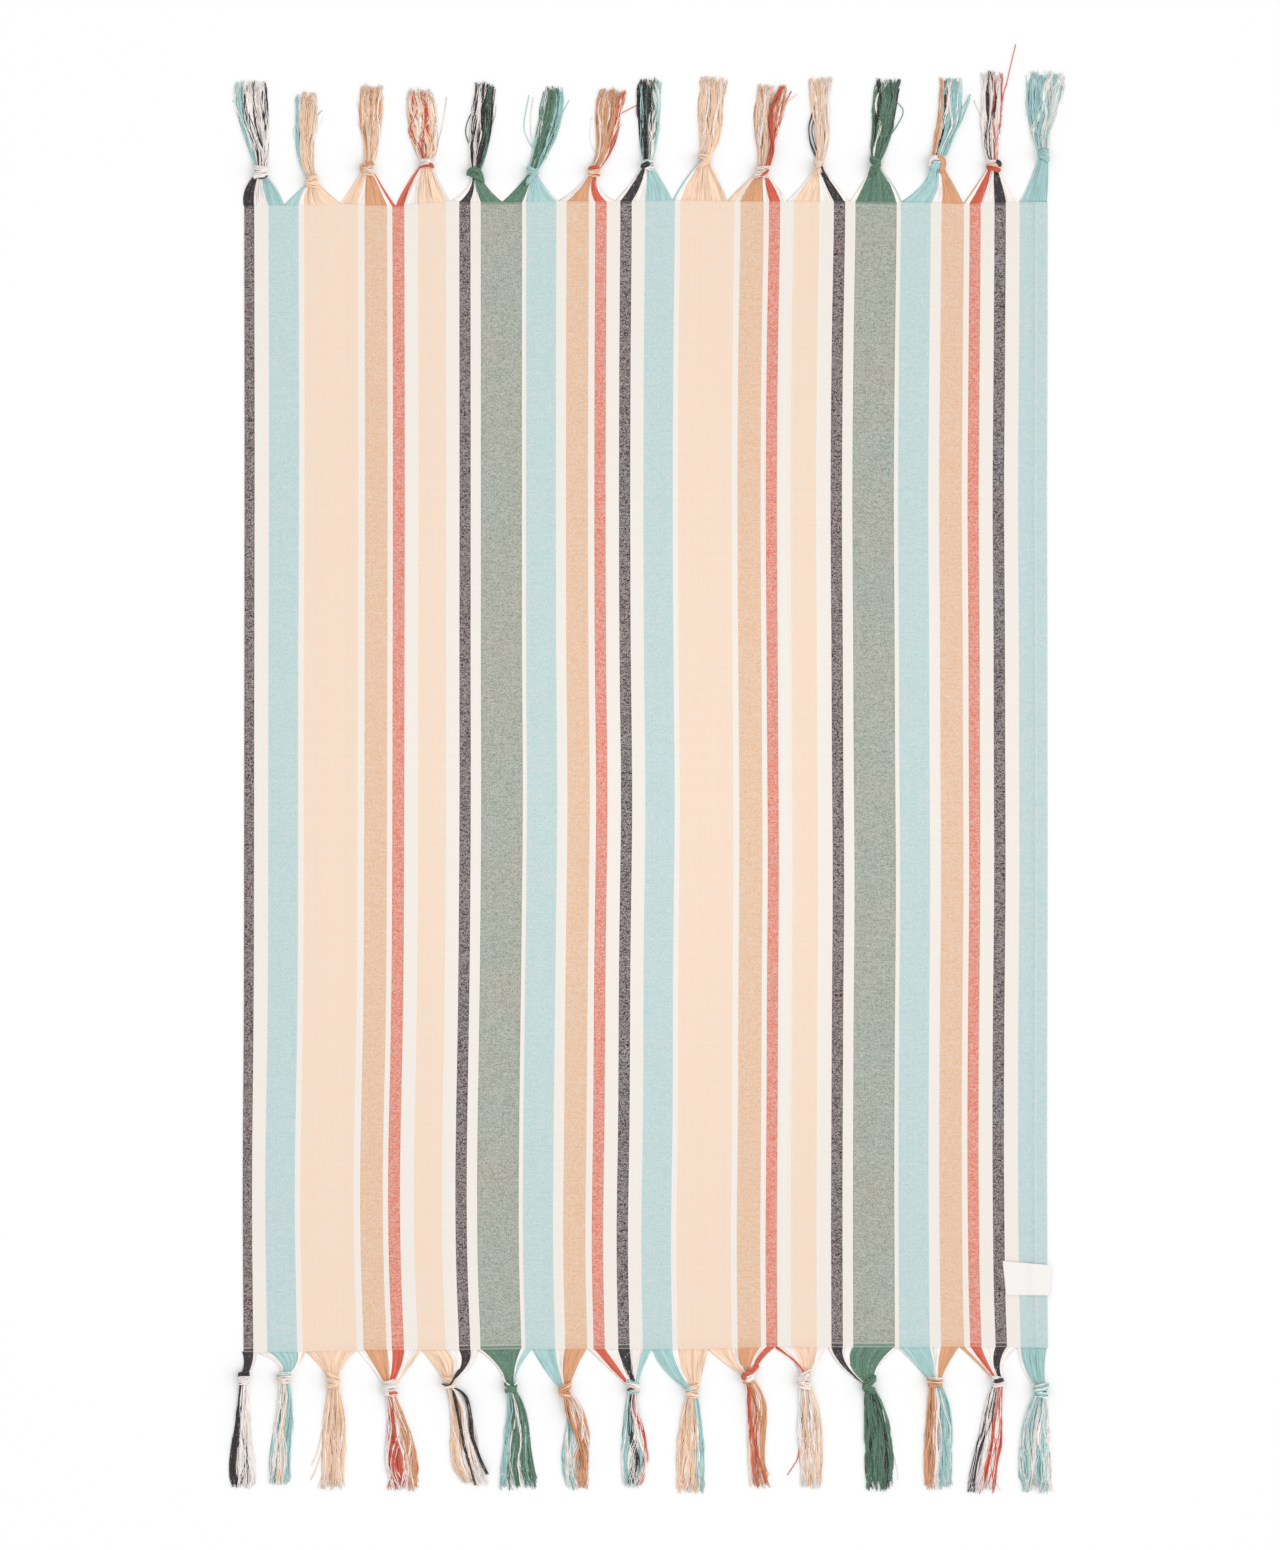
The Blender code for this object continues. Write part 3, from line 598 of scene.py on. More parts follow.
@dataclass
class Yarns:
    """Yarns that become one mesh, each a tube swept along its own path.

    A tube's point is path(t) + side(t) * wide(t) * cos(angle) + up(t) * high(t) * sin(angle),
    where side is square to the path and to the bundle's direction, and up to both.
    """

    material: bpy.types.Material
    sides: int = 4
    groups: list = field(default_factory=list)

    def add(self, bundle: Bundle) -> None:
        """Sweep a bundle's tubes.

        Args:
            bundle: the yarns, in (x, y, z).
        """
        paths = bundle.paths
        count, length = paths.shape[:2]
        if bundle.closed:
            tangent = np.roll(paths, -1, axis=1) - np.roll(paths, 1, axis=1)
        else:
            tangent = np.gradient(paths, axis=1)
        tangent /= np.linalg.norm(tangent, axis=2, keepdims=True)
        side = np.cross(np.array(bundle.square_to), tangent)
        side /= np.linalg.norm(side, axis=2, keepdims=True)
        up = np.cross(tangent, side)
        angle = np.arange(self.sides) * (2 * math.pi / self.sides)
        wide = np.broadcast_to(bundle.wide, (count, length))[..., None, None]
        high = np.broadcast_to(bundle.high, (count, length))[..., None, None]
        points = (
            paths[:, :, None]
            + side[:, :, None] * wide * np.cos(angle)[:, None]
            + up[:, :, None] * high * np.sin(angle)[:, None]
        )
        step = np.linalg.norm(np.diff(paths, axis=1), axis=2)
        along = np.concatenate([np.zeros((count, 1)), np.cumsum(step, axis=1)], axis=1)
        self.groups.append(Swept(points, along, np.asarray(bundle.warp, float), bundle.closed))

    def quads_of(self, group: Swept) -> tuple:
        """Quads of a group's tubes, without their ends.

        Args:
            group: the swept tubes.

        Returns:
            (q, 4) vertex numbers, and (q, 4, 3) each corner's yarn, step and side.
        """
        count, length, sides = group.points.shape[:3]
        steps = length if group.closed else length - 1
        yarn, step, side = np.meshgrid(
            np.arange(count), np.arange(steps), np.arange(sides), indexing="ij"
        )
        yarn, step, side = yarn.ravel(), step.ravel(), side.ravel()
        corners = [(step, side), (step, side + 1), (step + 1, side + 1), (step + 1, side)]
        quads = np.stack(
            [(yarn * length + s % length) * sides + k % sides for s, k in corners], axis=1
        )
        places = np.stack([np.stack([yarn, s, k], axis=1) for s, k in corners], axis=1)
        return quads, places

    def maps_of(self, group: Swept, places: np.ndarray, tubes: int, columns: int) -> tuple:
        """UVs of a group's quads. Each yarn has its own cell of the bake map, in two rows.

        Args:
            group: the swept tubes.
            places: each corner's yarn, step and side.
            tubes: how many tubes the groups before it have.
            columns: cells in one row of the bake map.

        Returns:
            The warp, ply and bake maps, each (q, 4, 2).
        """
        length, sides = group.points.shape[1:3]
        yarn, step, side = places[..., 0], places[..., 1], places[..., 2]
        last = group.along[:, -1:] + group.along[:, 1:2]
        run = np.concatenate([group.along, last], axis=1)[yarn, step]
        around = side / sides
        tube = tubes + yarn
        bake_u = (tube % columns + 0.08 + 0.84 * around) / columns
        bake_v = (tube // columns + 0.04 + 0.92 * step / length) / 2
        return (
            np.stack([group.warp[yarn] * MM, run * MM], axis=-1),
            np.stack([around, run * MM], axis=-1),
            np.stack([bake_u, bake_v], axis=-1),
        )

    def lid_maps(self, group: Swept, tubes: int, columns: int) -> tuple:
        """UVs of the square ends of a group's yarns, all near ends and then all far ends.

        Args:
            group: the swept tubes.
            tubes: how many tubes the groups before it have.
            columns: cells in one row of the bake map.

        Returns:
            The warp, ply and bake maps, each (2n, 4, 2).
        """
        count = len(group.points)
        across = np.tile(group.warp, 2)[:, None]
        run = np.concatenate([group.along[:, 0], group.along[:, -1]])[:, None]
        four = np.ones((1, 4))
        tube = np.tile(tubes + np.arange(count), 2)[:, None]
        low = np.repeat([0.0, 0.97], count)[:, None]
        square = np.array([(0.3, 0.0), (0.7, 0.0), (0.7, 0.02), (0.3, 0.02)])
        bake_u = (tube % columns + square[:, 0]) / columns
        bake_v = (tube // columns + low + square[:, 1]) / 2
        return (
            np.stack([across * MM * four, run * MM * four], axis=-1),
            np.stack([0.5 * four * np.ones_like(run), run * MM * four], axis=-1),
            np.stack([bake_u, bake_v], axis=-1),
        )

    def build(self, name: str) -> bpy.types.Object:
        """Join the groups into one mesh.

        Args:
            name: the piece's name.

        Returns:
            Its object, with its warp, ply and bake maps.
        """
        points, quads, maps = [], [], []
        start, tubes = 0, 0
        columns = math.ceil(sum(len(group.points) for group in self.groups) / 2)
        for group in self.groups:
            count, length, sides = group.points.shape[:3]
            faces, places = self.quads_of(group)
            group_maps = self.maps_of(group, places, tubes, columns)
            if not group.closed:
                ring = np.arange(sides)
                first = np.arange(count)[:, None] * length * sides
                faces = np.concatenate([faces, first + ring[::-1], first + (length - 1) * sides + ring])
                lids = self.lid_maps(group, tubes, columns)
                group_maps = [np.concatenate(pair) for pair in zip(group_maps, lids)]
            points.append(group.points.reshape(-1, 3) * MM)
            quads.append(faces + start)
            maps.append(group_maps)
            start += count * length * sides
            tubes += count
        joined = [np.concatenate(parts) for parts in zip(*maps)]
        return add_mesh(
            name, np.concatenate(points), np.concatenate(quads),
            dict(zip(("warp", "ply", "OFBake"), joined)), self.material,
        )


# ---------------------------------------------------------------------------------------------
# Shading
# ---------------------------------------------------------------------------------------------

Socket = bpy.types.NodeSocket
Value = Union[bpy.types.NodeSocket, float, tuple]


class Graph:
    """A short way to write a node tree: each method adds a node and returns its output."""

    def __init__(self, tree: bpy.types.NodeTree) -> None:
        """Keep the tree that the nodes go into."""
        self.tree = tree

    def node(self, kind: str, **settings: object) -> bpy.types.Node:
        """Add a node.

        Args:
            kind: the node's type.
            settings: its properties by name.

        Returns:
            The node.
        """
        item = self.tree.nodes.new(kind)
        for key, value in settings.items():
            setattr(item, key, value)
        return item

    def feed(self, socket: Socket, value: Value) -> None:
        """Link an output to a socket, or set the socket to a plain value.

        Args:
            socket: the input to feed.
            value: an output, or a number or tuple.
        """
        if isinstance(value, bpy.types.NodeSocket):
            self.tree.links.new(value, socket)
        else:
            socket.default_value = value

    def filled(self, kind: str, values: Sequence, **settings: object) -> Socket:
        """Add a node and feed its inputs in order.

        Args:
            kind: the node's type.
            values: what its first inputs get.
            settings: its properties by name.

        Returns:
            Its first output.
        """
        item = self.node(kind, **settings)
        for socket, value in zip(item.inputs, values):
            self.feed(socket, value)
        return item.outputs[0]

    def math(self, operation: str, *values: Value) -> Socket:
        """Add a Math node over one to three values."""
        return self.filled("ShaderNodeMath", values, operation=operation)

    def times(self, first: Value, second: Value) -> Socket:
        """Multiply two values."""
        return self.math("MULTIPLY", first, second)

    def plus(self, value: Value, swing: Value, base: Value) -> Socket:
        """Multiply a value by its swing and add it to the base."""
        return self.math("MULTIPLY_ADD", value, swing, base)

    def mix(self, share: Value, first: Value, second: Value, blend: str = "MIX") -> Socket:
        """Mix two colours.

        Args:
            share: how much of the second shows, from 0 to 1.
            first: the colour below.
            second: the colour above.
            blend: how they mix.

        Returns:
            The mixed colour.
        """
        item = self.node("ShaderNodeMix", data_type="RGBA", blend_type=blend)
        self.feed(item.inputs["Factor"], share)
        colours = [socket for socket in item.inputs if socket.type == "RGBA"]
        self.feed(colours[0], first)
        self.feed(colours[1], second)
        return next(socket for socket in item.outputs if socket.type == "RGBA")

    def vector(self, x: Value, y: Value, z: Value = 0.0) -> Socket:
        """Join three values into a vector."""
        return self.filled("ShaderNodeCombineXYZ", (x, y, z))

    def colour(self, red: Value, green: Value, blue: Value) -> Socket:
        """Join three values into a colour."""
        return self.filled("ShaderNodeCombineColor", (red, green, blue))

    def noise(self, vector: Value, detail: float = 1.0) -> Socket:
        """Add a noise texture of scale 1.

        Args:
            vector: where to read it.
            detail: how many finer noises are added to it.

        Returns:
            Its value, about 0.5 on average.
        """
        item = self.node("ShaderNodeTexNoise")
        self.feed(item.inputs["Vector"], vector)
        item.inputs["Scale"].default_value = 1.0
        item.inputs["Detail"].default_value = detail
        return item.outputs["Fac"]

    def random(self, x: Value, y: Value = 0.0) -> Socket:
        """Draw a random value that a pair of whole numbers fixes.

        Args:
            x: the first number.
            y: the second number.

        Returns:
            The value, from 0 to 1.
        """
        item = self.node("ShaderNodeTexWhiteNoise", noise_dimensions="2D")
        self.feed(item.inputs["Vector"], self.vector(x, y))
        return item.outputs["Value"]

    def span(self, value: Value, low: float, high: float, to_low: float, to_high: float) -> Socket:
        """Map a value's range onto another, clamped."""
        return self.filled("ShaderNodeMapRange", (value, low, high, to_low, to_high), clamp=True)

    def uv(self, title: str) -> tuple:
        """Read one of the piece's own UV maps.

        Args:
            title: the map's name.

        Returns:
            Its two values.
        """
        source = self.node("ShaderNodeUVMap", uv_map=title)
        item = self.node("ShaderNodeSeparateXYZ")
        self.feed(item.inputs[0], source.outputs[0])
        return tuple(item.outputs)[:2]


class Group:
    """A shader node group: its sockets are named, and it is built once on first use."""

    name = ""
    takes: tuple = ()
    gives: tuple = ()

    @classmethod
    def tree(cls) -> bpy.types.NodeTree:
        """Make the group's tree, once.

        Returns:
            The tree.
        """
        known = bpy.data.node_groups.get(cls.name)
        if known is not None:
            return known
        tree = bpy.data.node_groups.new(cls.name, "ShaderNodeTree")
        for title, kind, value in cls.takes:
            socket = tree.interface.new_socket(title, in_out="INPUT", socket_type=kind)
            socket.default_value = value
        for title, kind in cls.gives:
            tree.interface.new_socket(title, in_out="OUTPUT", socket_type=kind)
        graph = Graph(tree)
        source = graph.node("NodeGroupInput").outputs
        sink = graph.node("NodeGroupOutput").inputs
        for title, socket in cls.wire(graph, source).items():
            tree.links.new(socket, sink[title])
        return tree

    @classmethod
    def wire(cls, graph: Graph, source: bpy.types.NodeOutputs) -> dict:
        """Build the inside: each group has its own."""
        raise NotImplementedError

    @classmethod
    def place(cls, graph: Graph, **values: Value) -> bpy.types.NodeOutputs:
        """Put the group in a tree and feed its inputs.

        Args:
            graph: the tree's graph.
            values: what the inputs get, by name with _ for a space.

        Returns:
            The group's outputs.
        """
        item = graph.node("ShaderNodeGroup", node_tree=cls.tree())
        for title, value in values.items():
            graph.feed(item.inputs[title.replace("_", " ")], value)
        return item.outputs


FLOAT, COLOUR = "NodeSocketFloat", "NodeSocketColor"


class WarpOrder(Group):
    """Which dye a place across the warp has: its index steps up or down at each stripe's start.

    Dark says how dark the dye is, Thread is a random value of each warp thread, and Border falls
    from 1 at a stripe's side to 0 at `border` mm from it.
    """

    name = "Warp order"
    takes = (("Across", FLOAT, 0.0),)
    gives = (
        ("Yarn", COLOUR), ("Woven", COLOUR), ("Dark", FLOAT), ("Thread", FLOAT), ("Border", FLOAT),
    )
    darkness = {Dye.BLACK: 1.0, Dye.GREEN: 1.0, Dye.CORAL: 0.5}
    border = 2.2

    @classmethod
    def wire(cls, graph: Graph, source: bpy.types.NodeOutputs) -> dict:
        """Snap the place to its thread, wrap it into the repeat and look its dye up.

        Args:
            graph: the group's graph.
            source: the group's inputs.

        Returns:
            Its outputs by name.
        """
        starts = stripe_starts()
        thread = graph.math("FLOOR", graph.math("DIVIDE", source["Across"], WARP_PITCH * MM))
        middle = graph.plus(thread, WARP_PITCH, WARP_PITCH / 2 + FIRST_STRIPE)
        place = graph.math("WRAP", middle, float(starts[-1]), 0.0)
        order = [DYES.index(stripe.dye) for stripe in REPEAT]
        index = float(order[0])
        nearest = float(starts[-1])
        for start, before, after in zip(starts[1:], order, order[1:]):
            past = graph.math("GREATER_THAN", place, float(start))
            index = graph.plus(past, float(after - before), index)
            away = graph.math("ABSOLUTE", graph.math("SUBTRACT", place, float(start)))
            nearest = graph.math("MINIMUM", away, nearest)
        share = graph.math("DIVIDE", graph.math("ADD", index, 0.5), float(len(DYES)))
        dark = [cls.darkness.get(dye, 0.0) for dye in DYES]
        return {
            "Yarn": cls.palette(graph, share, [linear(TINTS[dye].yarn) for dye in DYES]),
            "Woven": cls.palette(graph, share, [linear(TINTS[dye].woven) for dye in DYES]),
            "Dark": cls.palette(graph, share, [(value, value, value, 1.0) for value in dark]),
            "Thread": graph.random(thread),
            "Border": graph.span(nearest, 0.0, cls.border, 1.0, 0.0),
        }

    @staticmethod
    def palette(graph: Graph, share: Value, colours: list) -> Socket:
        """Look a colour up in a list.

        Args:
            graph: the group's graph.
            share: the share of the way through the list.
            colours: the list of colours, as linear values with alpha.

        Returns:
            The colour.
        """
        ramp = graph.node("ShaderNodeValToRGB")
        graph.feed(ramp.inputs[0], share)
        ramp.color_ramp.interpolation = "CONSTANT"
        stops = ramp.color_ramp.elements
        while len(stops) < len(colours):
            stops.new(1.0)
        for number, (stop, colour) in enumerate(zip(stops, colours)):
            stop.position = number / len(colours)
            stop.color = colour
        return ramp.outputs["Color"]


class PlainWeave(Group):
    """Warp over weft and weft over warp in turn, on two sets of round threads.

    Each set's height is its thread's crown, a half sine across the thread, plus a wave that rises
    at one crossing and falls at the next. The higher of the two shows, with a soft change between
    them. Cover lifts the warp, so that more of it shows.
    """

    name = "Plain weave"
    takes = (
        ("Across", FLOAT, 0.0), ("Along", FLOAT, 0.0), ("Warp pitch", FLOAT, WARP_PITCH * MM),
        ("Weft pitch", FLOAT, WEFT_PITCH * MM), ("Cover", FLOAT, 0.3),
    )
    gives = (("Warp shows", FLOAT), ("Height", FLOAT), ("Weft thread", FLOAT))
    crown = 0.6
    wave = 0.5
    soft = 0.25
    weft_seed = 7.0

    @classmethod
    def wire(cls, graph: Graph, source: bpy.types.NodeOutputs) -> dict:
        """Count the threads both ways and compare the two heights.

        Args:
            graph: the group's graph.
            source: the group's inputs.

        Returns:
            Its outputs by name.
        """
        across = graph.math("DIVIDE", source["Across"], source["Warp pitch"])
        along = graph.math("DIVIDE", source["Along"], source["Weft pitch"])
        column, row = graph.math("FLOOR", across), graph.math("FLOOR", along)
        turn = graph.math("WRAP", graph.math("ADD", column, row), 2.0, 0.0)
        sign = graph.plus(turn, -2.0, 1.0)
        crown_x = graph.math("SINE", graph.times(graph.math("FRACT", across), math.pi))
        crown_y = graph.math("SINE", graph.times(graph.math("FRACT", along), math.pi))
        rise = graph.times(graph.times(sign, cls.wave), crown_y)
        fall = graph.times(graph.times(sign, -cls.wave), crown_x)
        warp = graph.math("ADD", graph.plus(crown_x, cls.crown, rise), source["Cover"])
        weft = graph.plus(crown_y, cls.crown, fall)
        return {
            "Warp shows": graph.span(graph.math("SUBTRACT", warp, weft), -cls.soft, cls.soft, 0.0, 1.0),
            "Height": graph.math("MAXIMUM", warp, weft),
            "Weft thread": graph.random(row, cls.weft_seed),
        }


class Speckle(Group):
    """Uneven cloth: small flecks, streaks along both sets of threads and a slow drift.

    Each is a noise centred on 0, or a sum of them, by rows of (width, height, seed, detail,
    strength), with width and height in millimetres.
    """

    name = "Speckle"
    takes = (("Across", FLOAT, 0.0), ("Along", FLOAT, 0.0))
    gives = (("Fleck", FLOAT), ("Streak", FLOAT), ("Bar", FLOAT), ("Drift", FLOAT))
    noises = {
        "Fleck": [(1.3, 2.2, 3.1, 0.0, 1.0), (2.1, 1.5, 8.7, 0.0, 1.0), (3.4, 2.4, 5.5, 0.0, 0.6)],
        "Streak": [(1.3, 60.0, 14.2, 1.0, 1.0)],
        "Bar": [(26.0, 0.9, 21.9, 1.0, 1.0)],
        "Drift": [(70.0, 90.0, 33.3, 1.0, 1.0)],
    }

    @classmethod
    def wire(cls, graph: Graph, source: bpy.types.NodeOutputs) -> dict:
        """Read each noise, from about -1 to 1, and add up those of one output.

        Args:
            graph: the group's graph.
            source: the group's inputs.

        Returns:
            Its outputs by name.
        """
        x = graph.times(source["Across"], 1 / MM)
        y = graph.times(source["Along"], 1 / MM)
        outputs = {}
        for title, rows in cls.noises.items():
            total = 0.0
            for wide, tall, seed, detail, strength in rows:
                place = graph.vector(graph.math("DIVIDE", x, wide), graph.math("DIVIDE", y, tall), seed)
                total = graph.plus(graph.plus(graph.noise(place, detail), 4.0, -2.0), strength, total)
            outputs[title] = total
        return outputs


class YarnPly(Group):
    """Two plies twisted together, with the fuzz of cotton: shade and height.

    The height is a wave of 2 * (along / pitch + around) turns, from 0 to 1. The shade is
    0.8 + 0.1 * height + 0.5 * fuzz: the height term is painted shade in the grooves between the
    plies, and fuzz is a noise along the yarn of about 0.5.
    """

    name = "Yarn ply"
    takes = (
        ("Around", FLOAT, 0.0), ("Along", FLOAT, 0.0), ("Seed", FLOAT, 0.0), ("Pitch", FLOAT, 2.4 * MM),
    )
    gives = (("Shade", FLOAT), ("Height", FLOAT))

    @classmethod
    def wire(cls, graph: Graph, source: bpy.types.NodeOutputs) -> dict:
        """Run a wave round and along the yarn, and add noise along it.

        Args:
            graph: the group's graph.
            source: the group's inputs.

        Returns:
            Its outputs by name.
        """
        turns = graph.math("DIVIDE", source["Along"], source["Pitch"])
        phase = graph.times(graph.math("ADD", turns, source["Around"]), 2 * math.pi)
        wave = graph.plus(graph.math("SINE", graph.times(phase, 2.0)), 0.5, 0.5)
        place = graph.vector(
            graph.times(source["Along"], 90.0), graph.times(source["Seed"], 57.0), source["Around"]
        )
        fuzz = graph.noise(place, detail=3.0)
        # Shade: painted shade in the plies' grooves from the wave, plus the fibres' own fuzz.
        return {"Shade": graph.plus(wave, 0.10, graph.plus(fuzz, 0.5, 0.80)), "Height": wave}


@dataclass(frozen=True)
class Finish:
    """What every finish has: a name, a roughness, a faint sheen and, mostly, a bump."""

    name: str = ""
    roughness: float = 0.9
    sheen: float = 0.2
    bump: float = 0.0
    bump_high: float = 0.1

    def material(self) -> bpy.types.Material:
        """Build the material, with only a Principled shader at its root.

        Returns:
            The material.
        """
        material = bpy.data.materials.new(self.name)
        material.use_nodes = True
        inputs = material.node_tree.nodes["Principled BSDF"].inputs
        graph = Graph(material.node_tree)
        colour, height = self.look(graph)
        graph.feed(inputs["Base Color"], colour)
        inputs["Roughness"].default_value = self.roughness
        inputs["Specular IOR Level"].default_value = self.sheen
        if height is not None:
            bump = graph.node("ShaderNodeBump")
            bump.inputs["Strength"].default_value = self.bump
            bump.inputs["Distance"].default_value = self.bump_high * MM
            graph.feed(bump.inputs["Height"], height)
            graph.feed(inputs["Normal"], bump.outputs[0])
        return material

    def look(self, graph: Graph) -> tuple:
        """Wire the finish and return its colour and its height, or None for no bump."""
        raise NotImplementedError


class EndShade(NamedTuple):
    """Fuller warp near an end: in full up to `start` mm from it, and none from `stop` mm on."""

    end: End
    start: float
    stop: float
    share: float
    dark_only: bool


class EndRow(NamedTuple):
    """A finishing row of pale weft, from `start` to `stop` mm from an end.

    It shows by `share`, and by `on_dark` more on the darkest dyes.
    """

    end: End
    start: float
    stop: float
    share: float
    on_dark: float


END_SHADES = [
    EndShade(End.TOP, 2.4, 4.4, 0.55, True), EndShade(End.TOP, 0.0, 1.6, 0.6, False),
    EndShade(End.BOTTOM, 4.4, 5.4, 0.65, True), EndShade(End.BOTTOM, 0.0, 14.0, 0.34, False),
]
END_ROWS = [
    EndRow(End.BOTTOM, 5.2, 6.3, 0.05, 0.28), EndRow(End.BOTTOM, 0.8, 1.8, 0.05, 0.25),
    EndRow(End.TOP, 4.6, 5.6, 0.12, 0.0),
]


@dataclass(frozen=True)
class WeaveFinish(Finish):
    """The cloth: dyed warp in stripes over a pale weft, with its uneven yarns and hemmed ends.

    The warp's colour is (woven - weft_share * weft) / (1 - weft_share), so that warp and weft
    together have the woven colour from afar. A swing is how far a mask of -0.5 to 0.5, or of
    -1 to 1, changes the shade.
    """

    name: str = "woven_cotton"
    roughness: float = 0.92
    bump: float = 0.35
    bump_high: float = 0.15
    cover: float = 0.74
    weft_share: float = 0.236
    fleck: float = 0.285
    fleck_on_dark: float = -0.15
    streak: float = 0.07
    bar: float = 0.15
    warp_swing: float = 0.03
    weft_swing: float = 0.02
    fleck_swing: float = 0.010
    border: float = 0.012
    border_on_dark: float = -0.11
    drift: float = 0.2
    drift_on_dark: float = 0.8
    drift_swings: tuple = (0.035, -0.015, -0.02)

    def look(self, graph: Graph) -> tuple:
        """Wire the weave, its stripes and its ends.

        Args:
            graph: the material's graph.

        Returns:
            The colour and the height.
        """
        across, along = graph.uv("warp")
        order = WarpOrder.place(graph, Across=across)
        speckle = Speckle.place(graph, Across=across, Along=along)
        dark = order["Dark"]
        fleck = graph.plus(dark, self.fleck_on_dark * self.fleck, self.fleck)
        cover = graph.times(speckle["Fleck"], fleck)
        cover = graph.plus(speckle["Streak"], self.streak, cover)
        cover = graph.math("ADD", graph.plus(speckle["Bar"], self.bar, cover), self.cover)
        weave = PlainWeave.place(graph, Across=across, Along=along, Cover=cover)
        weft = linear(WEFT)
        hidden = tuple(value * self.weft_share for value in weft[:3]) + (1.0,)
        strong = graph.mix(1.0, order["Woven"], hidden, "SUBTRACT")
        warp = graph.mix(1.0, strong, (1 / (1 - self.weft_share),) * 3 + (1.0,), "MULTIPLY")
        woven = graph.mix(weave["Warp shows"], weft, warp)
        shade = graph.plus(graph.math("SUBTRACT", order["Thread"], 0.5), self.warp_swing, 1.0)
        shade = graph.plus(graph.math("SUBTRACT", weave["Weft thread"], 0.5), self.weft_swing, shade)
        shade = graph.plus(speckle["Fleck"], self.fleck_swing, shade)
        shade = graph.plus(order["Border"], graph.plus(dark, self.border_on_dark, self.border), shade)
        drift = graph.times(speckle["Drift"], graph.plus(dark, self.drift_on_dark, self.drift))
        tint = graph.colour(*[graph.plus(drift, swing, shade) for swing in self.drift_swings])
        colour = graph.mix(1.0, woven, tint, "MULTIPLY")
        return self.ends(graph, colour, order, weft), weave["Height"]

    def ends(self, graph: Graph, colour: Socket, order: bpy.types.NodeOutputs, weft: tuple) -> Socket:
        """Colour both ends, where the weft stops: fuller warp there, and the finishing rows.

        Args:
            graph: the material's graph.
            colour: the cloth's colour away from its ends.
            order: the outputs of the warp order.
            weft: the weft's albedo.

        Returns:
            The colour with its ends.
        """
        away = dict(zip(End, graph.uv("ends")))
        for band in END_SHADES:
            share = graph.span(away[band.end], band.start * MM, band.stop * MM, band.share, 0.0)
            if band.dark_only:
                share = graph.times(share, order["Dark"])
            colour = graph.mix(share, colour, order["Yarn"])
        for row in END_ROWS:
            past = graph.math("GREATER_THAN", away[row.end], row.start * MM)
            inside = graph.times(past, graph.math("LESS_THAN", away[row.end], row.stop * MM))
            share = graph.times(inside, graph.plus(order["Dark"], row.on_dark, row.share))
            colour = graph.mix(share, colour, weft)
        return colour


@dataclass(frozen=True)
class YarnFinish(Finish):
    """The fringe: dyed cotton yarn of two plies, with pale lint and painted glints on its darker dyes.

    Its shade is the ply's, plus each thread's own swing, plus a slow noise across and along the
    warp: painted light and shade of folds where yarns lie side by side.
    """

    name: str = "fringe_yarn"
    bump: float = 0.5
    bump_high: float = 0.2
    swing: float = 0.26
    swing_on_dark: float = 0.14
    # painted light and shade of folds: its strength, and its scales across and along
    painted_fold_shade: float = 0.6
    painted_fold_scale: tuple = (240.0, 32.0)
    # pale flecks on the darker dyes: partly lint of the pale weft, partly painted glints
    lint_and_glint: float = 0.22
    lint_and_glint_scale: tuple = (1800.0, 260.0)
    lint_and_glint_range: tuple = (0.60, 0.72)

    def look(self, graph: Graph) -> tuple:
        """Wire the yarn's dye, ply, painted fold shade, and pale lint with painted glints.

        Args:
            graph: the material's graph.

        Returns:
            The colour and the height.
        """
        across, _ = graph.uv("warp")
        around, run = graph.uv("ply")
        order = WarpOrder.place(graph, Across=across)
        ply = YarnPly.place(graph, Around=around, Along=run, Seed=order["Thread"])
        swing = graph.plus(order["Dark"], self.swing_on_dark, self.swing)
        shade = graph.plus(graph.math("SUBTRACT", order["Thread"], 0.5), swing, ply["Shade"])
        # Painted light and shade of folds: a slow noise that lightens and darkens the yarn.
        painted_fold_shade = graph.noise(self.stretched(graph, across, run, self.painted_fold_scale, 4.0))
        shade = graph.math("ADD", graph.plus(painted_fold_shade, self.painted_fold_shade, -0.5 * self.painted_fold_shade), shade)
        # Pale flecks on the darker dyes: partly lint of the pale weft, partly painted glints.
        lint_and_glint = graph.noise(self.stretched(graph, across, run, self.lint_and_glint_scale, 0.0))
        lint_and_glint = graph.span(lint_and_glint, *self.lint_and_glint_range, 0.0, self.lint_and_glint)
        pale = graph.mix(graph.times(lint_and_glint, order["Dark"]), order["Yarn"], linear(WEFT))
        return graph.mix(1.0, pale, graph.colour(shade, shade, shade), "MULTIPLY"), ply["Height"]

    @staticmethod
    def stretched(graph: Graph, across: Value, run: Value, scale: tuple, seed: float) -> Socket:
        """A place for a noise with its own scales across and along, in 1/m."""
        return graph.vector(graph.times(across, scale[0]), graph.times(run, scale[1]), seed)


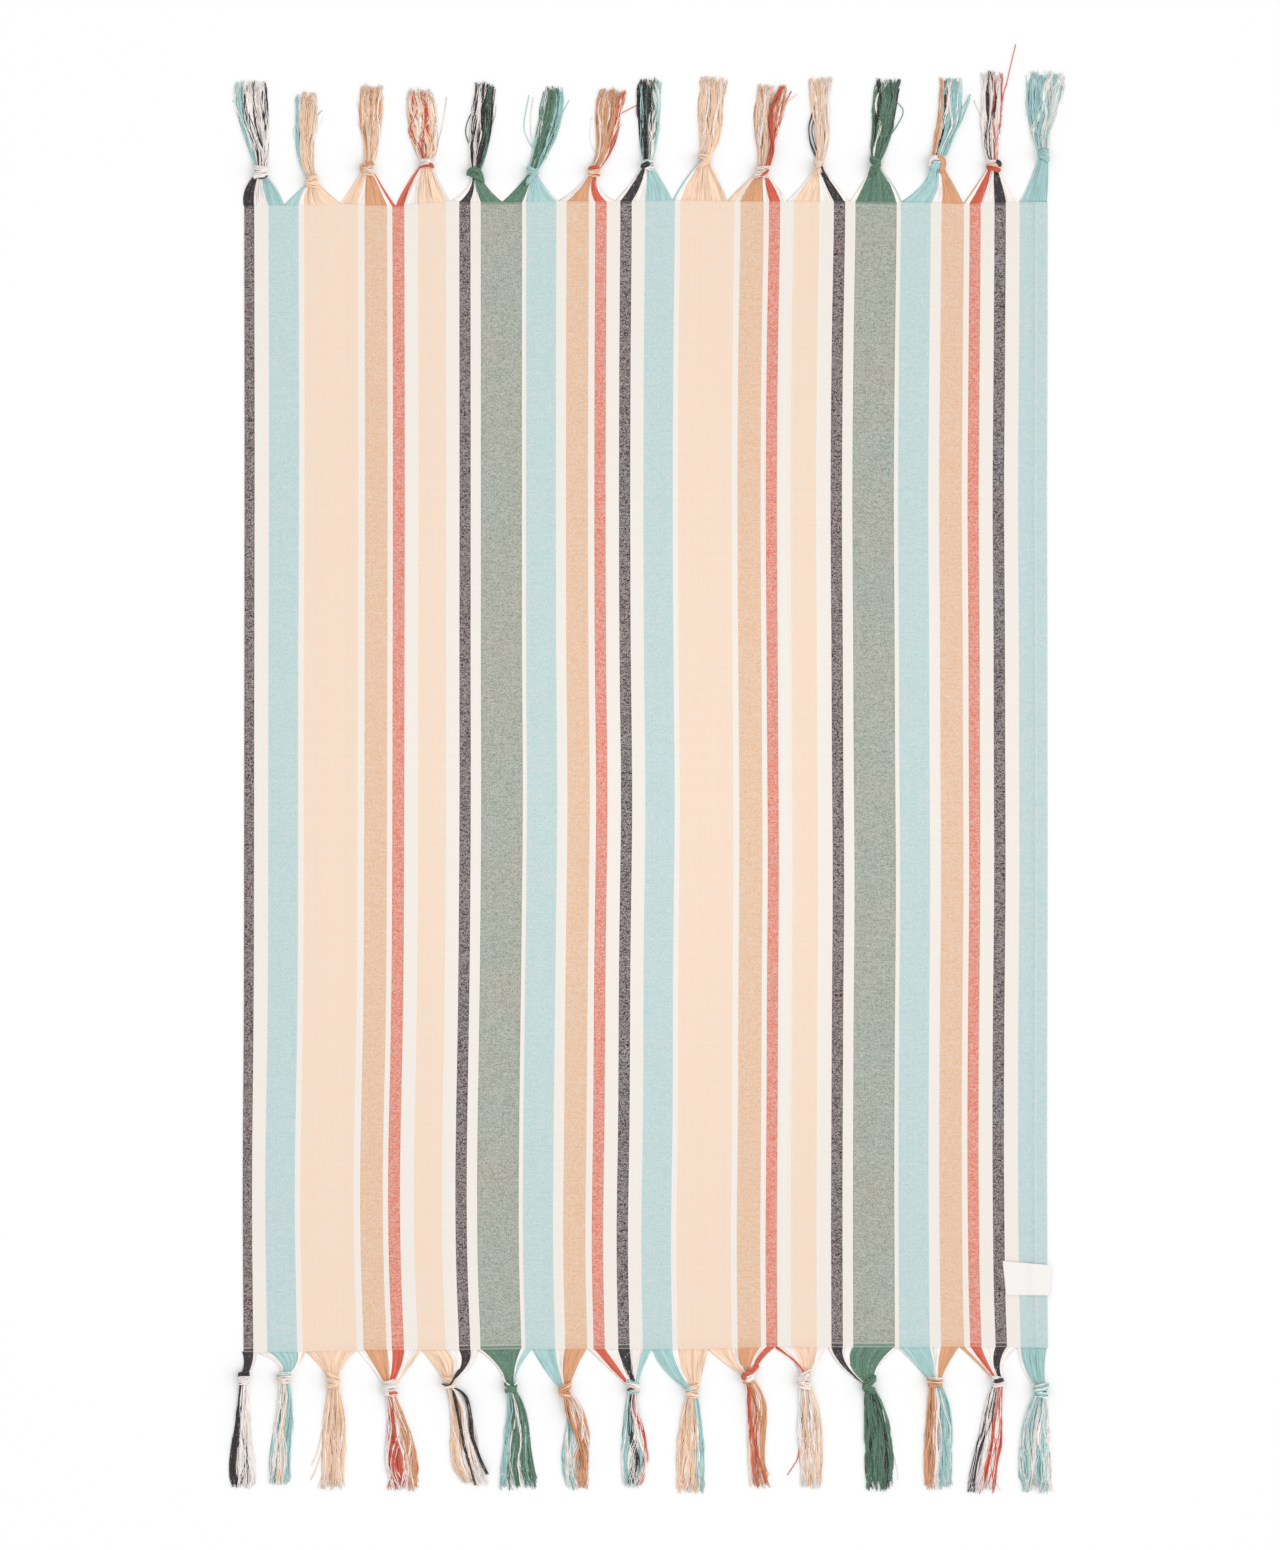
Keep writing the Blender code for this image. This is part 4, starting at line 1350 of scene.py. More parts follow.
@dataclass(frozen=True)
class TapeFinish(Finish):
    """The label: a plain off-white woven tape with nothing on it."""

    name: str = "label_tape"
    roughness: float = 0.75
    sheen: float = 0.5
    bump: float = 0.3
    bump_high: float = 0.08
    tint: tuple = (250, 247, 243)
    warp_pitch: float = 0.3
    weft_pitch: float = 0.34
    cover: float = 0.1

    def look(self, graph: Graph) -> tuple:
        """Wire a fine weave, with painted shade that darkens its hollows.

        Args:
            graph: the material's graph.

        Returns:
            The colour and the height.
        """
        across, along = graph.uv("warp")
        weave = PlainWeave.place(
            graph, Across=across, Along=along, Warp_pitch=self.warp_pitch * MM,
            Weft_pitch=self.weft_pitch * MM, Cover=self.cover,
        )
        # Painted shade: the weave's hollows are made up to 3% darker.
        shade = graph.span(weave["Height"], 0.2, 1.0, 0.97, 1.0)
        tint = graph.colour(shade, shade, shade)
        return graph.mix(1.0, linear(self.tint), tint, "MULTIPLY"), weave["Height"]


@dataclass(frozen=True)
class PaperFinish(Finish):
    """The floor: one even pale colour."""

    name: str = "floor_paper"
    roughness: float = 1.0
    sheen: float = 0.1
    albedo: float = 0.906

    def look(self, graph: Graph) -> tuple:
        """Return the even colour, with no bump."""
        return (self.albedo, self.albedo, self.albedo, 1.0), None


# ---------------------------------------------------------------------------------------------
# The towel
# ---------------------------------------------------------------------------------------------


@dataclass
class Cloth:
    """The woven panel with its turned hem: a closed sheet of two layers of grid points.

    A point (u, s) lies at x = u + lay(u) + pulls(x, y) and y from the bottom edge to the top
    edge by the share s. Its face is one layer high, two over the hem, on a soft low relief. Near
    the border both layers round off by sqrt(1 - (1 - d)^2), where d is the distance from it as a
    share of `roll`.
    """

    wide: float = 964.0
    long: float = 1378.0
    thick: float = 1.2
    hem_wide: float = 15.0
    hem_thick: float = 2.2
    hem_step: float = 4.0
    column: float = 6.0             # from one column of points to the next
    rows: int = 120
    side_columns: tuple = (0.0, 0.25, 0.8, 1.8)         # in from a side edge
    hem_columns: tuple = (-3.4, -2.5, -1.5, -0.8, 0.0, 1.0, 3.0, 7.0, 10.0, 12.0)
    end_rows: tuple = (0.0, 0.25, 0.7, 1.5, 3.0, 6.0)   # in from an end edge
    roll: float = 1.2               # how far in from the border the layers are rounded
    end_roll: float = 0.4           # how much less at the ends, where the warp runs on
    edge_thick: float = 0.45        # share of the thickness at the very border
    underside: float = 0.05         # height of the underside
    underside_rise: float = 0.25    # how much higher it is at the very border
    ease_in: float = 60.0           # how far in from a side the warp starts to shift freely
    side_free: float = 0.55         # how freely it shifts at the side itself
    relief: float = 0.5
    relief_border: float = 40.0     # where the relief fades in, from each edge
    relief_end: float = 680.0
    finish: WeaveFinish = WeaveFinish()

    def x_at(self, across: np.ndarray, y: np.ndarray) -> np.ndarray:
        """Place across the lying cloth of a place in the warp.

        It is the even place, plus the lay, plus for each pull
        shift * exp(-(dx / wide)^2 - (dy / tall)^2) * free.

        Args:
            across: places in the warp, in mm from the left edge.
            y: their places along the cloth, in mm.

        Returns:
            Places along X, in mm.
        """
        even = across - self.wide / 2
        x = even + table_at(even, LAY)
        for pull in PULLS:
            reach = ((even - pull.x) / pull.wide) ** 2 + ((y - pull.y) / pull.tall) ** 2
            x = x + pull.shift * np.exp(-reach) * self.free(even)
        return x

    def free(self, even: np.ndarray) -> np.ndarray:
        """How freely the warp shifts: fully, but a little less at the side edges."""
        return np.clip((self.wide / 2 - np.abs(even)) / self.ease_in + self.side_free, 0.0, 1.0)

    def across_at(self, x: np.ndarray, y: float) -> np.ndarray:
        """Places in the warp at the places x of one line y of the lying cloth: x_at turned round."""
        across = np.linspace(0.0, self.wide, round(self.wide) + 1)
        return np.interp(x, self.x_at(across, np.full_like(across, y)), across)

    def height(self, across: np.ndarray) -> np.ndarray:
        """Face of the cloth above its underside, eased up over the hem's step."""
        climb = (across - (self.wide - self.hem_wide - self.hem_step)) / self.hem_step
        return self.thick + (self.hem_thick - self.thick) * smooth_step(climb)

    def swell(self, x: np.ndarray, y: np.ndarray) -> np.ndarray:
        """Soft low relief of the lying cloth: a sum of slow waves, nothing at its border.

        Args:
            x: places along X, in mm.
            y: places along Y, in mm.

        Returns:
            Heights in mm.
        """
        waves = (
            np.sin(x / 61.0 + np.sin(y / 140.0) * 1.3) * np.sin(y / 97.0 + 0.6)
            + 0.6 * np.sin(x / 37.0 - y / 83.0 + 1.1)
            + 0.5 * np.sin(x / 113.0 + y / 59.0)
        )
        sides = np.clip((self.wide / 2 - np.abs(x)) / self.relief_border, 0.0, 1.0)
        ends = np.clip((self.relief_end - np.abs(y)) / self.relief_border, 0.0, 1.0)
        return self.relief * np.clip(0.5 + 0.3 * waves, 0.0, 1.2) * (sides * ends)

    def grid(self) -> tuple:
        """Set out the grid, closer at the edges.

        Returns:
            Each point's place in the warp, in mm, and its share of the way to the top edge.
        """
        side = np.array(self.side_columns)
        hem = self.wide - self.hem_wide
        across = np.concatenate([
            side, np.arange(self.column, hem - self.hem_step - 1.0, self.column),
            hem + np.array(self.hem_columns), self.wide - side[::-1],
        ])
        ends = np.array(self.end_rows) / self.long
        middle = np.linspace(ends[-1], 1 - ends[-1], self.rows)
        return np.meshgrid(across, np.concatenate([ends[:-1], middle, 1 - ends[-2::-1]]))

    def build(self) -> bpy.types.Object:
        """Weave the panel.

        Returns:
            Its object, which stands for the CAD node of the cloth.
        """
        across, share = self.grid()
        x = self.x_at(across, (share - 0.5) * self.long)
        top, foot = table_at(x, TOP_NOTCHES), table_at(x, BOTTOM_NOTCHES)
        y = -foot + (top + foot) * share
        from_side = np.minimum(across, self.wide - across)
        from_end = self.end_roll + np.minimum(top - y, y + foot)
        inward = np.clip(np.minimum(from_side, from_end) / self.roll, 0.0, 1.0)
        roll = np.sqrt(np.clip(1.0 - (1.0 - inward) ** 2, 0.0, 1.0))
        high = self.height(across) * (self.edge_thick + (1.0 - self.edge_thick) * roll)
        low = self.underside + self.underside_rise * (1.0 - roll)
        lift = self.swell(x, y)
        lower = np.stack([x, y, low + lift], axis=2) * MM
        upper = np.stack([x, y, high + lift], axis=2) * MM
        maps = {
            "warp": np.stack([across, y], axis=2) * MM,
            "ends": np.stack([top - y, y + foot], axis=2) * MM,
        }
        cloth = closed_sheet("cloth_woven", lower, upper, maps, self.finish.material())
        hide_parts("cloth")
        return cloth


@dataclass
class HemStitches:
    """The sewing thread that holds the hem: a row of short stitches along it.

    Each stitch is a tube whose path is an arc, z = crown * (1 - (2t - 1)^2) - sink above the
    cloth, and it leans a little across the hem.
    """

    cloth: Cloth
    from_edge: float = 13.6
    ends: tuple = (-680.0, 684.0)
    pitch: float = 3.2
    long: float = 2.3
    lean: float = 0.5
    crown: float = 0.15
    sink: float = 0.10
    radius: float = 0.28

    def build(self, material: bpy.types.Material) -> bpy.types.Object:
        """Sew the row from the bottom end to the top.

        Args:
            material: the yarn's material; the thread is ecru.

        Returns:
            The stitches' object.
        """
        starts = np.arange(*self.ends, self.pitch)
        t = np.linspace(0.0, 1.0, 5)
        y = starts[:, None] + self.long * t
        across = np.full_like(y, self.cloth.wide - self.from_edge)
        x = self.cloth.x_at(across, y) + (t - 0.5) * self.lean
        arc = self.crown * (1.0 - (2.0 * t - 1.0) ** 2) - self.sink
        z = self.cloth.height(across) + self.cloth.swell(x, y) + arc
        ecru = stripe_starts()[1] + 5.0
        yarns = Yarns(material)
        warp = np.full(len(starts), ecru)
        yarns.add(Bundle(np.stack([x, y, z], axis=2), self.radius, self.radius, warp))
        item = yarns.build("hem_stitches")
        return item


@dataclass(frozen=True)
class Web:
    """The warp between the cloth's edge and the knot.

    Yarn s starts at the place s of its stretch of the edge and ends at the place `held` of the
    knot's neck, which gives each dye its room. Its way between is the parabola through the
    reading halfway. Its height is floor(t) plus its layer's share of the room under roof(t),
    less towards both sides, and the layers fall in pleats towards the knot. Flat yarns below,
    each the mean of a few, close the gaps.
    """

    cloth: Cloth
    yarns: int = 48
    beds: int = 16                  # divides the yarns
    points: int = 12
    inside: float = 1.2             # how far the yarns reach in under the cloth's edge
    neck: float = 0.27              # half width at the knot, as a share of the knot's width
    stop: float = 0.1               # where they end before the knot's middle, in knot lengths
    slim: float = 0.3               # room of a dye that goes narrow, as a share of its usual room
    sway: float = 0.3               # spread of the yarns halfway, in mm
    stray: float = 0.5              # spread of the yarns at the knot, in mm
    pleats: tuple = (3.5, 5.5)      # fewest and most pleats across the neck
    pleat_deep: float = 0.34
    roof: tuple = ((0.0, 1.25), (0.1, 1.4), (0.4, 1.9), (0.7, 3.6), (1.0, 7.4))
    floor: tuple = ((0.0, 0.1), (0.5, 0.05), (0.8, 0.5), (1.0, 2.6))
    spread: tuple = ((0.0, 0.8), (0.3, 0.75), (0.7, 0.6), (1.0, 0.5))
    high: float = 0.6
    bed_high: float = 0.3

    def bundles(self, row: Row, end: End, left: tuple, right: tuple, rng: np.random.Generator) -> list:
        """Gather the yarns of one tassel.

        Args:
            row: the tassel's readings.
            end: the end of the cloth.
            left: the left end of its stretch of the edge, as (x, out).
            right: the right end.
            rng: the source of the yarns' unevenness.

        Returns:
            The bed and the yarns, as bundles.
        """
        s = (np.arange(self.yarns) + 0.5) / self.yarns
        t = np.linspace(0.0, 1.0, self.points)
        edge_y = end.value * np.mean([left[1], right[1]])
        start_x = left[0] + (right[0] - left[0]) * s
        warp = self.cloth.across_at(start_x, edge_y)
        room = [WEB_ROOM[dye] * (self.slim if dye.value in row.slim else 1.0) for dye in DYES]
        room = np.array(room)[dye_at(warp)]
        held = (np.cumsum(room) - room / 2) / room.sum()
        start_out = left[1] + (right[1] - left[1]) * s - self.inside
        half = row.web[0] + (row.web[1] - row.web[0]) * (held + s) / 2
        stop = row.knot_x + (2 * held - 1) * (row.knot_wide * self.neck)
        bow = half - 0.5 * (start_x + stop)
        sway = np.sin(t * math.pi) * rng.normal(0.0, self.sway, (len(s), 1))
        sway = sway + rng.normal(0.0, self.stray, (len(s), 1)) * t
        x = start_x[:, None] * (1 - t) + stop[:, None] * t + 4 * bow[:, None] * t * (1 - t) + sway
        stop_out = row.knot_out - self.stop * row.knot_long
        out = start_out[:, None] + (stop_out - start_out[:, None]) * t
        z = self.heights(held, t, rng)
        paths = np.stack([x, out, z], axis=2)
        pitch = (right[0] - left[0]) / self.yarns
        wide = np.maximum(table_at(t, self.spread) * pitch, self.high)
        return [self.bed(paths, warp), Bundle(paths, wide, self.high, warp)]

    def heights(self, held: np.ndarray, t: np.ndarray, rng: np.random.Generator) -> np.ndarray:
        """Heights of the yarns' middles.

        Args:
            held: (n,) where each yarn ends across the neck, from 0 to 1.
            t: (m,) stations from the edge to the knot.
            rng: the source of the pleats and layers.

        Returns:
            (n, m) heights in mm.
        """
        pleat = 0.5 + 0.5 * np.sin(2 * math.pi * (held * rng.uniform(*self.pleats) + rng.uniform()))
        layer = rng.uniform(0.90, 1.0, (len(held), 1)) - self.pleat_deep * pleat[:, None] * t
        roof, floor = table_at(t, self.roof), table_at(t, self.floor)
        mound = 1.0 - 0.7 * np.abs(2 * held[:, None] - 1) ** 2.5
        return floor + 0.5 + layer * np.clip(roof - floor - 1.1, 0.0, None) * mound

    def bed(self, paths: np.ndarray, warp: np.ndarray) -> Bundle:
        """Lay flat yarns under the others, each the mean of a few of them.

        Args:
            paths: (n, m, 3) the yarns' centre lines.
            warp: (n,) their places in the warp.

        Returns:
            The flat yarns, as a bundle.
        """
        bed = paths.reshape(self.beds, -1, *paths.shape[1:]).mean(axis=1)
        bed[..., 2] = np.maximum(bed[..., 2] - 0.45, 0.4)
        wide = np.maximum(0.56 * (paths[-1, :, 0] - paths[0, :, 0]) / self.beds, 0.5)
        middle = warp.reshape(self.beds, -1)[:, 1]
        return Bundle(bed, wide, self.bed_high, middle)


@dataclass(frozen=True)
class Knot:
    """The overhand knot: slanted rings of yarn in two mounds, with flat turns over its face.

    A ring at the place p along the knot, -1 to 1, is the ellipse x = wide * cos(angle),
    z = high * sin(angle) about the knot's middle. It leans by x * tan(slant), and is smaller
    towards both ends of its mound by 0.78 + 0.22 * sqrt(1 - local^2). A turn's yarns lie side by
    side along its curve, on the dome edge + (high - edge) * sqrt(1 - (x / a)^2 - (out / b)^2).
    """

    high: float = 10.6
    ring_points: int = 24
    ring: float = 0.65              # half size of a ring's yarn across the knot
    parting: float = 0.1            # where the first mound ends and the second starts
    second_size: float = 0.92       # the second mound, as shares of the first
    second_slant: float = -0.45
    uneven: float = 0.12
    turn_points: int = 14
    turn_pitch: float = 0.42
    turn_size: tuple = (0.62, 0.5)
    dome_edge: float = 7.4          # height at which a turn leaves the dome
    ease: tuple = ((0.0, 0.6), (0.25, 1.0), (0.75, 1.0), (1.0, 0.6))

    def rings(self, row: Row, rng: np.random.Generator) -> Bundle:
        """Wind the rings of one knot.

        Args:
            row: the tassel's readings.
            rng: the source of the rings' unevenness.

        Returns:
            The rings, as a bundle of closed paths.
        """
        letters = "".join(letter * 2 for letter in row.wraps)
        count = len(letters)
        p = (np.arange(count) + 0.5) / count * 2 - 1
        first = p < self.parting
        local = np.where(first, (p + 0.45) / 0.55, (p - 0.55) / 0.45)
        round_off = 0.78 + 0.22 * np.sqrt(np.clip(1.0 - local**2, 0.0, 1.0))
        size = np.where(first, 1.0, self.second_size) * round_off
        angle = np.arange(self.ring_points) / self.ring_points * 2 * math.pi
        wide = row.knot_wide / 2 * size + rng.normal(0.0, self.uneven, count)
        high = self.high / 2 * size + rng.normal(0.0, self.uneven, count)
        x = (wide[:, None] - self.ring) * np.cos(angle)
        z = self.high / 2 + 0.4 + (high[:, None] - 0.70) * np.sin(angle)
        lean = np.tan(np.radians(row.slant) * np.where(first, 1.0, self.second_slant))
        out = p[:, None] * row.knot_long * 0.46 + rng.normal(0.0, 0.2, (count, 1)) + x * lean[:, None]
        out = out + 0.5 * np.sin(angle * 2 + rng.uniform(0, 6.28, (count, 1)))
        paths = np.stack([row.knot_x + x, row.knot_out + out, z], axis=2)
        thick = row.knot_long / count * 0.75
        return Bundle(paths, self.ring, thick, dyed(letters, rng), (0.0, 1.0, 0.0), True)

    def turn(self, row: Row, turn: Turn, rng: np.random.Generator) -> Bundle:
        """Lay one turn over the knot's face.

        Args:
            row: the tassel's readings.
            turn: the turn's readings.
            rng: the source of its yarns' places in the warp.

        Returns:
            The turn's yarns, as a bundle.
        """
        t = np.linspace(0.0, 1.0, self.turn_points)
        curve = spline(np.array(turn.path, float), len(t))
        ahead = np.gradient(curve, axis=0)
        ahead /= np.linalg.norm(ahead, axis=1, keepdims=True)
        count = max(2, round(turn.wide / self.turn_pitch))
        aside = np.linspace(-1.0, 1.0, count)[:, None] * max(turn.wide - 0.4, 0.3)
        aside = aside * table_at(t, self.ease)
        x, out = curve[:, 0] - ahead[:, 1] * aside, curve[:, 1] + ahead[:, 0] * aside
        inside = 1.0 - (x / (row.knot_wide / 2 + 0.6)) ** 2 - (out / (row.knot_long / 2 + 1.6)) ** 2
        crown = self.high + 0.6 - self.dome_edge
        dome = self.dome_edge + crown * np.sqrt(np.clip(inside, 0.0, 1.0))
        beyond = 0.35 * np.clip(np.hypot(x, out) - 9.0, 0.0, None)
        z = np.maximum(dome - beyond - 2.0 * np.abs(2.0 * t - 1.0) ** 8, 1.6)
        paths = np.stack([row.knot_x + x, row.knot_out + out, z], axis=2)
        return Bundle(paths, *self.turn_size, dyed(turn.dye.value * len(paths), rng))


class Outline(NamedTuple):
    """A tail's form at its stations t, in mm: its sides, roof and floor, its root and its tip."""

    t: np.ndarray
    left: np.ndarray
    right: np.ndarray
    roof: np.ndarray
    floor: np.ndarray
    root: float
    tip: float

    def x(self, place: np.ndarray) -> np.ndarray:
        """Place across: left + (right - left) * place."""
        return self.left + (self.right - self.left) * place

    def out(self, short: np.ndarray) -> np.ndarray:
        """Distance out of a yarn that ends `short` of the tip."""
        return self.root + (self.tip - short - self.root) * self.t

    @staticmethod
    def crown(place: np.ndarray, fall: float) -> np.ndarray:
        """How high the tail is across its width: 1 - fall * (2 * place - 1)^2."""
        return 1.0 - fall * np.clip(np.abs(2 * place - 1), 0.0, 1.0) ** 2


@dataclass(frozen=True)
class Tail:
    """A tassel's loose end: wavy locks of yarn, over flat cores and beds that fill under them.

    Yarn q lies at left(t) + (right(t) - left(t)) * place(q, t), where left and right are cubics
    through the readings and t runs from the knot to the tip. place is the middle of the yarn's
    lock, plus the lock's drift, plus reach(t) * cos(phase) inside the lock, plus a drift of its
    own. A drift is a random sum of four waves of t. The height is floor(t) plus the yarn's share
    of the room under roof(t) times the crown.
    """

    yarns: int = 76
    beds: int = 6
    steps: int = 25
    radius: float = 0.55
    neck: float = 0.28              # half width at the knot, as a share of the knot's width
    readings: tuple = (0.0, 0.3, 0.65, 1.0)
    lock_widths: tuple = (0.6, 1.4)
    lock_drift: float = 1.1
    own_drift: float = 0.50
    twist: float = 5.0
    spread: float = 1.05            # how far a lock's yarns reach, over its half width
    splay: float = 1.2
    gather: tuple = ((0.0, 0.9), (0.2, 1.2), (0.6, 1.15), (1.0, 0.9))
    roof: tuple = ((0.0, 7.6), (0.13, 6.2), (0.34, 4.8), (0.66, 4.2), (1.0, 3.2))
    floor: tuple = ((0.0, 2.6), (0.15, 1.0), (0.3, 0.05))
    taper: tuple = ((0.0, 1.0), (0.8, 0.95), (1.0, 0.6))
    core_taper: tuple = ((0.0, 1.0), (0.8, 0.9), (1.0, 0.3))
    bed_taper: tuple = ((0.0, 1.0), (0.8, 0.95), (1.0, 0.4))
    core_short: float = 4.0         # how far short of the yarns the cores end
    bed_short: float = 9.0
    fuzz_yarns: int = 20
    fuzz_radius: float = 0.16

    def outline(self, row: Row) -> Outline:
        """Read a tail's form at the stations.

        Args:
            row: the tassel's readings.

        Returns:
            The form.
        """
        t = np.linspace(0.0, 1.0, self.steps)
        neck = row.knot_wide * self.neck
        left, right = (
            np.polyval(np.polyfit(np.array(self.readings), [start, *side], 3), t)
            for start, side in ((row.knot_x - neck, row.left), (row.knot_x + neck, row.right))
        )
        root = row.knot_out + 0.1 * row.knot_long
        return Outline(t, left, right, table_at(t, self.roof), table_at(t, self.floor), root, row.tip_out)

    def bundles(self, row: Row, rng: np.random.Generator) -> list:
        """Lay the tail's locks.

        Args:
            row: the tassel's readings.
            rng: the source of its unevenness.

        Returns:
            The cores with the beds, and the yarns, as bundles.
        """
        form = self.outline(row)
        t, count, locks = form.t, self.yarns, len(row.tail)
        lock = np.arange(count) * locks // count
        widths = rng.uniform(*self.lock_widths, locks)
        ends = np.concatenate([[0.0], np.cumsum(widths)]) / widths.sum()
        middle, half = (ends[1:] + ends[:-1]) / 2, (ends[1:] - ends[:-1]) / 2
        waves = np.stack([
            t**1.5, np.sin(t * math.pi), np.sin(t * 2 * math.pi), 0.8 * np.sin(t * 3.3 * math.pi),
        ])
        drift = (rng.normal(0.0, 1.0, (locks, 4)) @ waves) * (self.lock_drift / locks)
        spine = middle[:, None] + drift
        twist = rng.normal(0.0, 1.0, (locks, 1)) * self.twist * t
        phase = rng.uniform(0.0, 2 * math.pi, (count, 1)) + twist[lock]
        reach = np.sqrt(rng.uniform(0.05, 1.0, (count, 1))) * table_at(t, self.gather)
        own = (rng.normal(0.0, 1.0, (count, 4)) @ waves) * (self.own_drift / locks)
        place = spine[lock] + half[lock, None] * reach * self.spread * np.cos(phase) + own
        place = np.clip(place, -0.01 - 0.03 * t, 1.01 + 0.03 * t)
        ripple = np.sin(t * rng.uniform(14.0, 30.0, (count, 1)) + rng.uniform(0.0, 6.28, (count, 1)))
        x = form.x(place) + ripple * rng.uniform(0.05, 0.60, (count, 1)) * np.minimum(1.0, t * 4)
        x = x + rng.normal(0.0, self.splay, (count, 1)) * t**5
        short = rng.uniform(0.0, 6.5, locks)[lock] + rng.gamma(1.1, 3.0, count) - 5.0
        layer = 0.5 + 0.5 * reach / 1.2 * np.sin(phase) * 0.8
        layer = layer + 0.1 * rng.uniform(-1.0, 1.0, locks)[lock, None]
        room = (form.roof - form.floor - 2 * self.radius) * form.crown(place, 0.55)
        z = form.floor + self.radius + np.clip(layer, 0.0, 1.0) * np.clip(room, 0.0, None)
        warp = dyed("".join(row.tail[number] for number in lock), rng)
        paths = np.stack([x, form.out(short[:, None]), np.maximum(z, self.radius)], axis=2)
        thin = self.radius * table_at(t, self.taper)
        first = np.searchsorted(lock, np.arange(locks))
        cores = self.cores(form, spine, half, short[first], warp[first])
        joined = [np.concatenate(pair) for pair in zip(cores[:4], self.bed(form, warp)[:4])]
        return [Bundle(*joined), Bundle(paths, thin, thin, warp)]

    def cores(
        self, form: Outline, spine: np.ndarray, half: np.ndarray, short: np.ndarray, warp: np.ndarray
    ) -> Bundle:
        """Flat cores, one inside each lock, at every second station.

        Args:
            form: the tail's outline.
            spine: (locks, m) the locks' middles, as shares of the width.
            half: (locks,) their half widths, as shares of the width.
            short: (locks,) how far short of the tip each ends, in mm.
            warp: (locks,) their places in the warp.

        Returns:
            The cores, as a bundle.
        """
        high = np.maximum(0.39 * (form.roof - form.floor) * form.crown(spine, 0.6), 0.4)
        x, out = form.x(np.clip(spine, 0.05, 0.95)), form.out(self.core_short + short[:, None])
        wide = np.maximum(half[:, None] * (form.right - form.left) * 1.35, 0.4)
        wide = wide * table_at(form.t, self.core_taper)
        paths = np.stack([x, out, form.floor + high + 0.05], axis=2)
        return Bundle(paths[:, ::2], wide[:, ::2], high[:, ::2], warp)

    def bed(self, form: Outline, warp: np.ndarray) -> Bundle:
        """Lay flat beds side by side over the tail's whole width, at every second station.

        Args:
            form: the tail's outline.
            warp: the yarns' places in the warp.

        Returns:
            The beds, as a bundle.
        """
        spot = (np.arange(self.beds)[:, None] + 0.5) / self.beds
        even = np.ones_like(spot)
        paths = np.stack([form.x(spot), form.out(self.bed_short * even), (form.floor + 0.5) * even], axis=2)
        wide = 0.62 * (form.right - form.left) / self.beds * table_at(form.t, self.bed_taper) * even
        numbers = (spot[:, 0] * self.yarns).astype(int)
        return Bundle(paths[:, ::2], wide[:, ::2], np.full_like(wide, 0.4)[:, ::2], warp[numbers])

    def fuzz(self, tail: Bundle, rng: np.random.Generator) -> Bundle:
        """Fine flyaways: each leaves a yarn and strays by a square of t and one wave of it.

        Args:
            tail: the tail's yarns.
            rng: the source of the flyaways.

        Returns:
            The flyaways, as a bundle.
        """
        picks = rng.integers(0, len(tail.paths), self.fuzz_yarns)
        start = rng.integers(6, 16, self.fuzz_yarns)
        t = np.linspace(0.0, 1.0, 10)
        station = np.arange(tail.paths.shape[1])
        paths = np.stack([
            np.stack([np.interp(s + t * 9, station, tail.paths[n, :, k]) for k in range(3)], axis=1)
            for n, s in zip(picks, start)
        ])
        away = rng.normal(0.0, 3.0, (self.fuzz_yarns, 1)) * t**2
        curl = rng.normal(0.0, 1.2, (self.fuzz_yarns, 1)) * np.sin(t * math.pi * 2)
        paths[..., 0] += away + curl
        paths[..., 2] = np.maximum(paths[..., 2] * (1 - 0.6 * t), 0.3)
        return Bundle(paths, self.fuzz_radius, self.fuzz_radius, tail.warp[picks])


def strand(loose: Loose, rng: np.random.Generator) -> Bundle:
    """Lay a loose thread or lock: its own curve, plus a helix about it for each yarn.

    Args:
        loose: the thread's readings.
        rng: the source of its unevenness.

    Returns:
        Its yarns, as a bundle.
    """
    t = np.linspace(0.0, 1.0, 24)
    curve = spline(np.array(loose.path, float), len(t))
    lie = table_at(t, ((0.0, 2.6 + loose.lift), (0.25, 0.9 + loose.lift), (1.0, 0.5))) + loose.radius
    angle = rng.uniform(0.0, 2 * math.pi, (loose.yarns, 1)) + 6.0 * t
    reach = loose.radius * np.sqrt(rng.uniform(0.1, 1.0, (loose.yarns, 1)))
    reach = reach * table_at(t, ((0.0, 0.6), (0.2, 1.0), (1.0, 0.7)))
    short = rng.gamma(1.1, 2.0, (loose.yarns, 1)) * (loose.radius > 0.0)
    ahead = (curve[-1] - curve[-2]) / np.linalg.norm(curve[-1] - curve[-2])
    x = curve[:, 0] + reach * np.cos(angle) - ahead[0] * short * t
    out = curve[:, 1] - ahead[1] * short * t
    z = np.maximum(lie + reach * np.sin(angle), 0.5)
    paths = np.stack([x, out, z], axis=2)
    return Bundle(paths, 0.5, 0.45, dyed(loose.dye.value * loose.yarns, rng))


